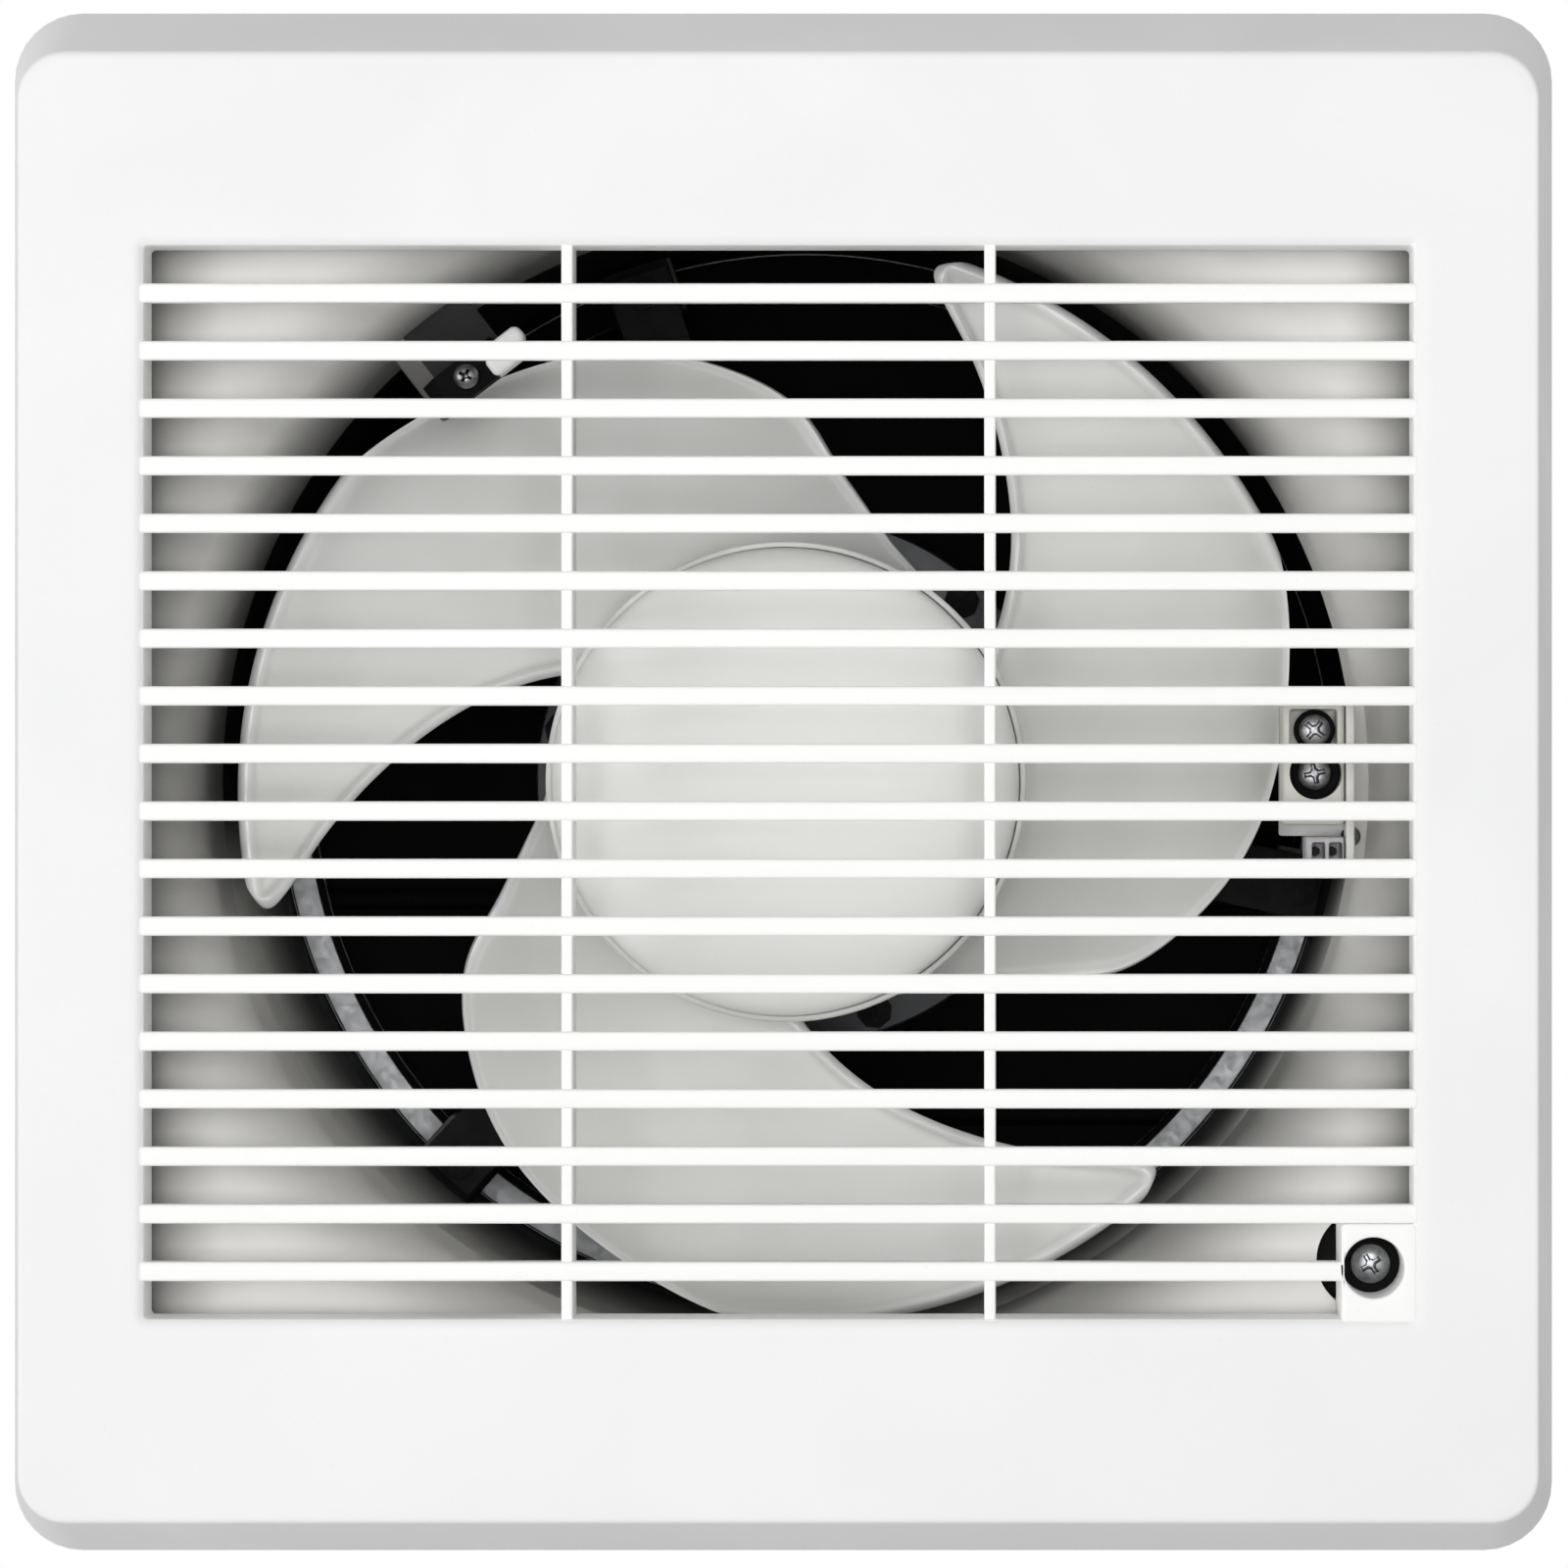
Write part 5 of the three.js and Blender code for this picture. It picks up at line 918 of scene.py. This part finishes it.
def bladeShell(rows=72, columns=76):
    # The middle surface is a screw surface: the angle slides from the leading to the trailing edge and the
    # surface sinks in step with it, with a shallow bulge. Half the thickness is set off along the surface
    # normal, tapers to zero in an arc at every free edge, and swells into a bead just inside the edge.
    s = impellerSizes
    rootRadius = s["hubRadius"] - 1.2
    radii = rootRadius + (s["tipRadius"] - rootRadius) * (1 - (1 - np.linspace(0, 1, rows)) ** 1.8)
    share = (radii - s["hubRadius"]) / (s["tipRadius"] - s["hubRadius"])
    chord = 0.5 - 0.5 * np.cos(np.linspace(0, np.pi, columns))
    lead, trail = smoothCurve(s["leading"], share), smoothCurve(s["trailing"], share)
    angle = lead[:, None] * (1 - chord) + trail[:, None] * chord
    sink = s["pitchPerRadian"] * np.radians(s["referenceAngle"] - angle)
    z = s["frontZ"] - sink + 4 * s["camber"] * chord * (1 - chord)
    r = radii[:, None] * np.ones_like(angle)
    middle = np.stack([r * np.cos(np.radians(angle)), r * np.sin(np.radians(angle)), z], axis=-1)
    normal = unit(np.cross(np.gradient(middle, axis=0), np.gradient(middle, axis=1)))
    normal *= np.sign(normal[..., 2:3])
    length = np.linalg.norm(np.diff(middle, axis=1), axis=-1).sum(axis=1)[:, None]
    free = np.minimum(np.minimum(chord, 1 - chord)[None, :] * length, s["tipRadius"] - r)
    half = s["thickness"] / 2
    taper = np.sqrt(np.clip(1 - (1 - np.clip(free / half, 0, 1)) ** 2, 0, 1))
    bead = s["bead"] * np.exp(-((free - s["beadWidth"]) / (0.7 * s["beadWidth"])) ** 2)
    fillet = np.clip(1.2 * np.exp(-(r - s["hubRadius"]) / 1.1), 0, 1.4)
    thick = (half + bead + fillet) * taper
    front = middle + normal * thick[..., None]
    back = middle - normal * (thick - 0.7 * bead * taper)[..., None]
    onBead = np.clip((s["beadBand"] - free) / (0.35 * s["beadBand"]), 0, 1)
    weights = np.concatenate([onBead, onBead[:, -2:0:-1]], axis=1).ravel()
    rootAndTip = (0, 1)  # weights of the loft's two middle points
    return loft(np.concatenate([front, back[:, -2:0:-1]], axis=1)), np.append(weights, rootAndTip)


def hubShells():
    # cup section with its web, boss and recessed front edge, carried round, and ribs between boss and wall
    s = impellerSizes
    inner, boss, web = s["hubRadius"] - s["hubWall"], s["bossRadius"], s["webBackZ"]
    frontZ, backZ = s["hubFrontZ"], s["hubBackZ"]
    corners = [
        (s["boreRadius"], backZ, 0.3), (boss, backZ, 0.5), (boss, web, 1.0), (inner, web, 1.0),
        (inner, backZ, 0.4), (s["hubRadius"], backZ, 0.5), (s["hubRadius"], frontZ, 0.5),
        (inner, frontZ, 0.2), (inner, frontZ - 4.6, 0.2), (inner - 3.5, frontZ - 4.6, 0.3),
        (inner - 0.1, frontZ - 8.1, 0.3), (inner, s["webZ"], 1.0), (s["boreRadius"], s["webZ"], 0.3),
    ]
    rib = bar((boss - overlap, -0.8, backZ + 8), (inner + overlap, 0.8, web + overlap), 0.3)
    ribs = [spun(rib, 30 + 360 / s["hubRibs"] * i) for i in range(s["hubRibs"])]
    return [lathe(roundedProfile(corners), 160)] + ribs


def impeller():
    # the hub carries no bead weight, each blade its own
    count = impellerSizes["blades"]
    blade, bladeBead = bladeShell()
    hub = hubShells()
    weights = [np.zeros(sum(len(shell[0]) for shell in hub))] + [bladeBead] * count
    shells = hub + [spun(blade, 360 / count * i) for i in range(count)]
    addPiece("sweptImpeller", shells, paleGreyPolypropylene, "blade_plastic", "impeller", body="rotor",
             sharp=38, weights=np.concatenate(weights))


capSizes = {"radius": 41.6, "baseZ": -3.5, "rise": 7.0, "power": 0.6, "wall": 2.0, "skirt": 4.2}


def hubCap():
    # flattened dome: radius as the sine, height as the cosine to a power, then a short skirt and its inside
    s = capSizes
    radius, wall, baseZ, rise, skirtZ = s["radius"], s["wall"], s["baseZ"], s["rise"], s["baseZ"] - s["skirt"]
    a = np.linspace(0, 1, 40) ** 0.7 * np.pi / 2
    sine, lift = np.sin(a), np.cos(a) ** s["power"]
    outer, inner = (np.column_stack([(radius - t) * sine, baseZ + (rise - t) * lift]) for t in (0, wall))
    skirt = [(radius, skirtZ + 0.3), (radius - 0.3, skirtZ), (radius - wall, skirtZ)]
    addPiece("hubCapDome", [lathe(np.vstack([outer, skirt, inner[::-1]]), 160, False)], paleGreyGlossAbs,
             "cap_plastic", "hub_cap", body="rotor", sharp=50)


impeller()
hubCap()
print("stage: impeller and hub cap")

sealSizes = {"innerSize": 262.0, "outerSize": 261.0, "hole": 118.0, "cornerRadius": 8.0, "edge": 0.5}


def squareSeal(name, node, size, backZ, frontZ):
    # flat ring between a rounded square and a round hole, with its four edges broken
    s = sealSizes
    e = s["edge"]
    outer = squares(size, size, s["cornerRadius"], (e, backZ), (0, backZ + e), (0, frontZ - e), (e, frontZ))
    inner = circles(outer[1], s["hole"], (-e, frontZ), (0, frontZ - e), (0, backZ + e), (-e, backZ))
    addPiece(name, [loft(outer + inner, closed=True)], epdmRubber, "seal_rubber", node, sharp=60)


squareSeal("roomSideSeal", "inner_seal", sealSizes["innerSize"], 0.0, 2.5)
squareSeal("streetSideSeal", "outer_seal", sealSizes["outerSize"], -8.5, -6.0)

sleeveSizes = {
    "radius": 104.0, "outer": 106.5, "flange": 114.7, "frontZ": -5.3, "flangeBackZ": -7.8, "rearZ": -97.0,
    "lugInner": 92.5, "lugWidth": 14.0, "lugFrontZ": -73.6, "lugDepth": 14.0, "arms": (-12, 108, 228),
}


def ductSleeve():
    # tube and front flange as one section carried round, with a lug inside it for each arm of the motor mount
    s = sleeveSizes
    half, lugBackZ = s["lugWidth"] / 2, s["lugFrontZ"] - s["lugDepth"]
    screwCircle = (s["lugInner"] + s["radius"]) / 2
    corners = [
        (s["radius"], s["rearZ"], 0.5), (s["outer"], s["rearZ"], 0.5),
        (s["outer"], s["flangeBackZ"], 1.0), (s["flange"], s["flangeBackZ"], 0.4),
        (s["flange"], s["frontZ"], 0.4), (s["radius"], s["frontZ"], 0.8),
    ]
    lug = bar((s["lugInner"], -half, lugBackZ), (s["radius"] + 1.2, half, s["lugFrontZ"]), 0.8)
    shells = [lathe(roundedProfile(corners), 180)] + [spun(lug, angle) for angle in s["arms"]]
    holes = [screwHole(lugBackZ + 3, s["lugFrontZ"] + 1, onCircle(screwCircle, angle)) for angle in s["arms"]]
    holes += [screwHole(s["flangeBackZ"] - 1, s["frontZ"] + 1, place) for place in tiePlaces]
    addPiece("ductSleeveTube", shells, blackAbs, "black_plastic", "duct_sleeve", cutters=holes)


clampFlangeSizes = {
    "size": 262.0, "cornerRadius": 8.0, "frontZ": -8.8, "plateBackZ": -11.8, "rimBackZ": -16.8,
    "rim": 2.2, "hole": 107.0, "ring": (117.0, 119.2), "ringBackZ": -15.8, "ribs": 8, "ribBackZ": -14.8,
    "edge": 0.5,
}


def clampFlange():
    # square plate with a rim and a round bore as one skin, and behind it a ring with ribs out to the rim
    s = clampFlangeSizes
    e, size, rim, radius = s["edge"], s["size"], s["rim"], s["cornerRadius"]
    frontZ, plateZ, rimZ = s["frontZ"], s["plateBackZ"], s["rimBackZ"]
    rings = squares(size, size, radius, (e, frontZ), (0, frontZ - e), (0, rimZ + e), (e, rimZ))
    rings += squares(size, size, radius - rim / 2, (rim - e, rimZ), (rim, rimZ + e), (rim, plateZ))
    rings += circles(rings[1], s["hole"], (-e, plateZ), (0, plateZ + e), (0, frontZ - e), (-e, frontZ))
    inner, outer = s["ring"]
    shells = [loft(rings, closed=True)]
    shells.append(lathe(boxSection(inner, outer, s["ringBackZ"], plateZ + overlap, 0.4, 0.1), 160))
    for i in range(s["ribs"]):
        angle = 22.5 + 360 / s["ribs"] * i
        nearest = abs((angle + 45) % 90 - 45)
        reach = (size / 2 - rim + overlap) / math.cos(math.radians(nearest))
        rib = bar((inner + overlap, -1, s["ribBackZ"]), (reach, 1, plateZ + overlap), 0.35)
        shells.append(spun(rib, angle))
    holes = [screwHole(plateZ - 1, frontZ + 1, place) for place in tiePlaces]
    addPiece("pressureFlange", shells, outdoorGreyAbs, "outer_plastic", "clamp_flange", cutters=holes)


tieScrewSizes = {"seatZ": -12.1, "length": 13, "tilt": 20, "tiltStep": 35}


def tieScrews():
    # pan screws turned over, by a change of sign of y and z, so that their heads face the street
    s = tieScrewSizes
    for i, place in enumerate(tiePlaces):
        shells = panScrew(0, s["length"], (0, 0), s["tilt"] + s["tiltStep"] * i, recess=slotRecess)
        turned = [(points * [1, -1, -1] + [*place, s["seatZ"]], *faces) for points, *faces in shells]
        addPiece(f"tieScrew{i + 1}", turned, zincPlatedSteel, "zinc_steel", f"tie_screw_{i + 1}", sharp=50)


ductSleeve()
clampFlange()
tieScrews()
print("stage: seals, sleeve and clamp flange")

shutterSizes = {
    "size": 222.0, "cornerRadius": 6.0, "insideRadius": 0.8, "frontZ": -97.3, "plateBackZ": -100.0,
    "backZ": -114.0, "wall": 2.5, "hole": 97.5, "edge": 0.6, "collar": (106.8, 109.3),
    "collarFrontZ": -88.3, "flaps": 5, "pitch": 43.0, "firstY": 105.1, "axisZ": -106.0,
    "stopInner": 105.5,
}
flapSizes = {
    "halfWidth": 107.9, "barrel": 2.0, "front": 0.5, "thickness": 1.6, "drop": 40.2, "lipFront": 2.15,
    "lipDrop": 1.1, "pinRadius": 1.4, "pinReach": 110.6,
}


def shutterFrame():
    # round mouth with its lip, square walls and their inside as one skin, a collar over the sleeve's end,
    # and a stop at either side behind each flap
    s = shutterSizes
    e, size, wall = s["edge"], s["size"], s["wall"]
    frontZ, plateZ, backZ = s["frontZ"], s["plateBackZ"], s["backZ"]
    lip, inside = [(0.25 * e, frontZ - 0.25 * e), (0, frontZ - e)], s["insideRadius"]
    walls = squares(size, size, s["cornerRadius"], (e, frontZ), *lip, (0, backZ + e), (e, backZ))
    mouth = circles(walls[2], s["hole"],
                    (0, plateZ), (0, frontZ - e), (-0.25 * e, frontZ - 0.25 * e), (-e, frontZ))
    walls += squares(size, size, inside, (wall - e, backZ), (wall, backZ + e), (wall, plateZ))
    collar = lathe(boxSection(*s["collar"], frontZ - overlap, s["collarFrontZ"], 0.1, 0.5), 160)
    shells = [loft(mouth + walls, closed=True), collar]
    for i in range(s["flaps"]):
        y = s["firstY"] - i * s["pitch"]
        for side in (-1, 1):
            near, far = sorted((side * s["stopInner"], side * (size / 2 - wall + overlap)))
            low, high = y - flapSizes["drop"] + 2, y - 3
            shells.append(bar((near, low, s["axisZ"] - 0.2), (far, high, plateZ + overlap), 0.3))
    addPiece("gravityShutterFrame", shells, outdoorGreyAbs, "outer_plastic", "shutter_frame")


def shutterFlap(i):
    # plate with a stiffening roll at its hinge line and a lip that laps the next flap, in pairs of (y, z)
    s, f = shutterSizes, flapSizes
    y, z, half = s["firstY"] - i * s["pitch"], s["axisZ"], f["halfWidth"]
    front, back = z - f["front"], z - f["front"] - f["thickness"]
    lipFront, lipBack = z - f["lipFront"], z - f["lipFront"] - f["thickness"]
    bottom, lipBottom = y - f["drop"], y - f["drop"] - f["lipDrop"]
    corners = [
        (bottom, front, 0.15), (bottom, lipFront, 0.1), (lipBottom, lipFront, 0.3),
        (lipBottom, lipBack, 0.6), (bottom + 0.6, lipBack, 1.0), (bottom + 2.6, back, 1.5),
        (y, back, 0.1), (y, front, 0.1),
    ]
    shells = [extruded(roundedProfile(corners), -half, half)]
    turn = np.linspace(0, 2 * np.pi, 32, endpoint=False)
    for radius, reach in ((f["barrel"], half), (f["pinRadius"], f["pinReach"])):
        section = np.column_stack([y + radius * np.cos(turn), z + radius * np.sin(turn)])
        shells.append(extruded(section, -reach, reach))
    # the flaps' black is painted shade seen through the blades
    addPiece(f"gravityFlap{i + 1}", shells, blackPolystyrene, "black_plastic", f"shutter_flap_{i + 1}",
             body=f"flap_{i + 1}")


mouthSizes = {
    "ring": (97.35, 103.8), "ringZ": (-97.25, -96.7), "railFrom": -176, "railTo": -3,
    "rail": (98.6, 103.5), "railZ": (-96.6, -96.1), "railRise": 0.8,
}


def shutterMouth():
    # a matt black ring at the sleeve's end is painted shade, and along its lower half runs a bright rail whose
    # face leans towards the fan axis, painted light: the lower half lit, the upper half in shade
    s = mouthSizes
    ring = lathe(boxSection(*s["ring"], *s["ringZ"], 0.1, 0.2), 160)
    addPiece("mouthRing", [ring], blackPolystyrene, "black_plastic", "shutter_frame")
    (inner, outer), (low, high) = s["rail"], s["railZ"]
    section = roundedProfile([
        (inner, low, 0.1), (outer, low, 0.1), (outer, high + s["railRise"], 0.2), (inner, high, 0.3)])
    angles = np.radians(np.linspace(s["railFrom"], s["railTo"], 120))[:, None]
    radii, heights = section[:, 0], section[:, 1] + 0 * angles
    rail = loft(np.stack([radii * np.cos(angles), radii * np.sin(angles), heights], axis=-1))
    addPiece("paintedLightRail", [rail], galvanisedSteel, "zinc_steel", "shutter_frame", sharp=40)


shutterFrame()
shutterMouth()
for flapIndex in range(shutterSizes["flaps"]):
    shutterFlap(flapIndex)
print("stage: shutter")

motorSizes = {
    "radius": 41.5, "flange": 50.5, "frontZ": -50.5, "frontFlangeZ": -70.0, "rearZ": -93.1,
    "rearFlangeZ": -73.6, "wall": 1.6, "flangeWall": 2.0, "bearing": 11.3, "bearingWall": 2,
    "bearingDepth": 7, "boreRadius": 5.0, "slots": 4, "slotReach": (19, 33), "slotHalf": 1.2,
    "screws": 3, "screwCircle": 46.4,
}


def motorScrewAngle(i):
    # angle of the CAD screw's middle about the fan axis, in degrees
    low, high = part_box(f"motor_screw_{i + 1}")
    return math.degrees(math.atan2((low.z + high.z) / 2, (low.x + high.x) / 2))


def motorShell(name, node, endZ, flangeZ, inward):
    # drawn cup with a rounded shoulder and a turned flange; inward is +1 when the cup opens towards the room
    s = motorSizes
    inner, bearing, boss = s["radius"] - s["wall"], s["bearing"], s["bearing"] + s["bearingWall"]
    start, under = flangeZ - inward * s["flangeWall"], endZ + inward * s["wall"]
    bossZ = endZ + inward * (s["wall"] + s["bearingDepth"])
    corners = [
        (s["boreRadius"], endZ, 0.3), (s["radius"], endZ, 4.5), (s["radius"], start, 0.8),
        (s["flange"], start, 0.4), (s["flange"], flangeZ, 0.4), (inner, flangeZ, 0.3),
        (inner, under, 3.0), (boss, under, 0.4), (boss, bossZ, 0.3), (bearing, bossZ, 0.3),
        (bearing, under, 0.2), (s["boreRadius"], under, 0.2),
    ]
    (near, far), half = s["slotReach"], s["slotHalf"]
    low, high = sorted((endZ - inward, endZ + inward * 3))
    slot = bar((near, -half, low), (far, half, high), 0.3)
    holes = [spun(slot, 360 / s["slots"] * i) for i in range(s["slots"])]
    low, high = sorted((start, flangeZ))
    places = [onCircle(s["screwCircle"], motorScrewAngle(i)) for i in range(s["screws"])]
    holes += [screwHole(low - 1, high + 1, place) for place in places]
    shell = lathe(roundedProfile(corners), 128)
    addPiece(name, [shell], stovedMotorEnamel, "motor_steel", node, cutters=holes)


motorShell("motorFrontCup", "motor_front_shell", motorSizes["frontZ"], motorSizes["frontFlangeZ"], -1)
motorShell("motorRearCup", "motor_rear_shell", motorSizes["rearZ"], motorSizes["rearFlangeZ"], 1)
print("stage: motor")

# finishes of the CAD nodes that stay as they are
keptFinishes = {
    "cable_grommet": epdmRubber, "terminal_screw_1": blackOxideSteel, "terminal_screw_2": blackOxideSteel,
    "nut_washer": zincPlatedSteel, "impeller_nut": zincPlatedSteel, "drive_pin": groundSteel,
    "motor_shaft": groundSteel, "rotor_core": punchedElectricalSteel, "front_bearing": groundSteel,
    "rear_bearing": groundSteel, "stator_core": punchedElectricalSteel, "winding_front": enamelledCopper,
    "winding_rear": enamelledCopper, "motor_mount": blackOxideSteel, "motor_lead": pvcSheath,
}
for kind in ("motor", "mount"):
    keptFinishes.update({f"{kind}_screw_{i + 1}": blackOxideSteel for i in range(3)})
for node, finish in keptFinishes.items():
    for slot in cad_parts[node].material_slots:
        slot.material = finish
print("stage: kept nodes finished", len(keptFinishes))

stageSizes = {"floorSide": 3.0, "floorHeight": -0.42, "ambient": 0.34, "floorGlow": 0.6}


def whiteForCamera(tree):
    # 1 for camera, glossy and transmission rays, 0 for all others
    rays = addNode(tree, "LightPath")
    sees = addNode(tree, "Math", {"operation": "MAXIMUM"}, {
        0: rays.outputs["Is Camera Ray"], 1: rays.outputs["Is Glossy Ray"]})
    return addNode(tree, "Math", {"operation": "MAXIMUM"}, {0: sees, 1: rays.outputs["Is Transmission Ray"]})


def buildFloor():
    # pale sheet that lies well below the fan and keeps its shadow
    half, z = stageSizes["floorSide"] / 2, stageSizes["floorHeight"]
    mesh = bpy.data.meshes.new("floor")
    corners = [(-half, -half, z), (half, -half, z), (half, half, z), (-half, half, z)]
    mesh.from_pydata(corners, [], [(0, 1, 2, 3)])
    floor = bpy.data.objects.new("floor", mesh)
    bpy.context.scene.collection.objects.link(floor)
    material, tree, place = startMaterial("paleFloorPaint")
    cloud = addNode(tree, "TexNoise", inputs={"Vector": place, "Scale": 3.0, "Detail": 3.0})
    colour = addNode(tree, "Mix", {"data_type": "RGBA"}, {
        "Factor": cloud.outputs["Fac"], "A": linear("#F2F2F0"), "B": linear("#EEEEEC")})
    matt = addNode(tree, "BsdfDiffuse", inputs={"Color": colour})
    glow = addNode(tree, "Emission", inputs={"Color": linear("#FFFFFF"), "Strength": 1.0})
    share = addNode(tree, "Math", {"operation": "MULTIPLY"}, {
        0: whiteForCamera(tree), 1: stageSizes["floorGlow"]})
    both = addNode(tree, "MixShader", inputs={0: share, 1: matt, 2: glow})
    addNode(tree, "OutputMaterial", inputs={"Surface": both})
    mesh.materials.append(material)


def buildWorld():
    # white where the camera sees it, and a dimmer ambient light for everything else
    world = bpy.data.worlds.new("studio")
    world.use_nodes = True
    tree = world.node_tree
    tree.nodes.clear()
    ambient, white = (addNode(tree, "Background", inputs={"Color": linear("#FFFFFF"), "Strength": strength})
                      for strength in (stageSizes["ambient"], 1.0))
    both = addNode(tree, "MixShader", inputs={0: whiteForCamera(tree), 1: ambient, 2: white})
    addNode(tree, "OutputWorld", inputs={"Surface": both})
    bpy.context.scene.world = world


lampSizes = {
    # direction towards the lamp in the fan frame, distance in metres, side in metres and power in watts
    "front": {"towards": (0.0, 0.09, 0.996), "distance": 1.8, "side": 1.0, "power": 14.7},
    "left": {"towards": (-0.82, -0.25, 0.6), "distance": 2.2, "side": 1.2, "power": 25.8},
}


def buildLamps():
    # square lamps set off from the fan's middle along their direction, each turned to face it
    for name, s in lampSizes.items():
        lamp = bpy.data.lights.new(name, "AREA")
        lamp.shape, lamp.size, lamp.energy = "SQUARE", s["side"], s["power"]
        light = bpy.data.objects.new(name, lamp)
        bpy.context.scene.collection.objects.link(light)
        x, y, z = unit(np.array(s["towards"])) * s["distance"]
        light.location = (x, -z, y)
        light.rotation_euler = light.location.to_track_quat("Z", "Y").to_euler()


cameraSizes = {
    "x": 0.036, "z": 0.003, "distance": 0.824, "sensor": 36.0, "frameWidth": 269.45,
    "frontDistance": 800.0, "shiftX": -35.0, "shiftY": -3.3,
}


def buildCamera():
    # the lens takes in the photo's width of 269.45 mm at the cover's front, 800 mm away
    s = cameraSizes
    data = bpy.data.cameras.new("photoCamera")
    data.sensor_width = s["sensor"]
    data.lens = s["sensor"] * s["frontDistance"] / s["frameWidth"]
    data.shift_x = s["shiftX"] / s["frameWidth"]
    data.shift_y = s["shiftY"] / s["frameWidth"]
    data.clip_start, data.clip_end = 0.02, 20.0
    camera = bpy.data.objects.new("photoCamera", data)
    bpy.context.scene.collection.objects.link(camera)
    camera.location = (s["x"], -s["distance"], s["z"])
    camera.rotation_euler = (math.pi / 2, 0, 0)
    bpy.context.scene.camera = camera


bpy.context.scene.view_settings.view_transform = "Standard"
buildFloor()
buildWorld()
buildLamps()
buildCamera()
print("stage: floor, light and camera")
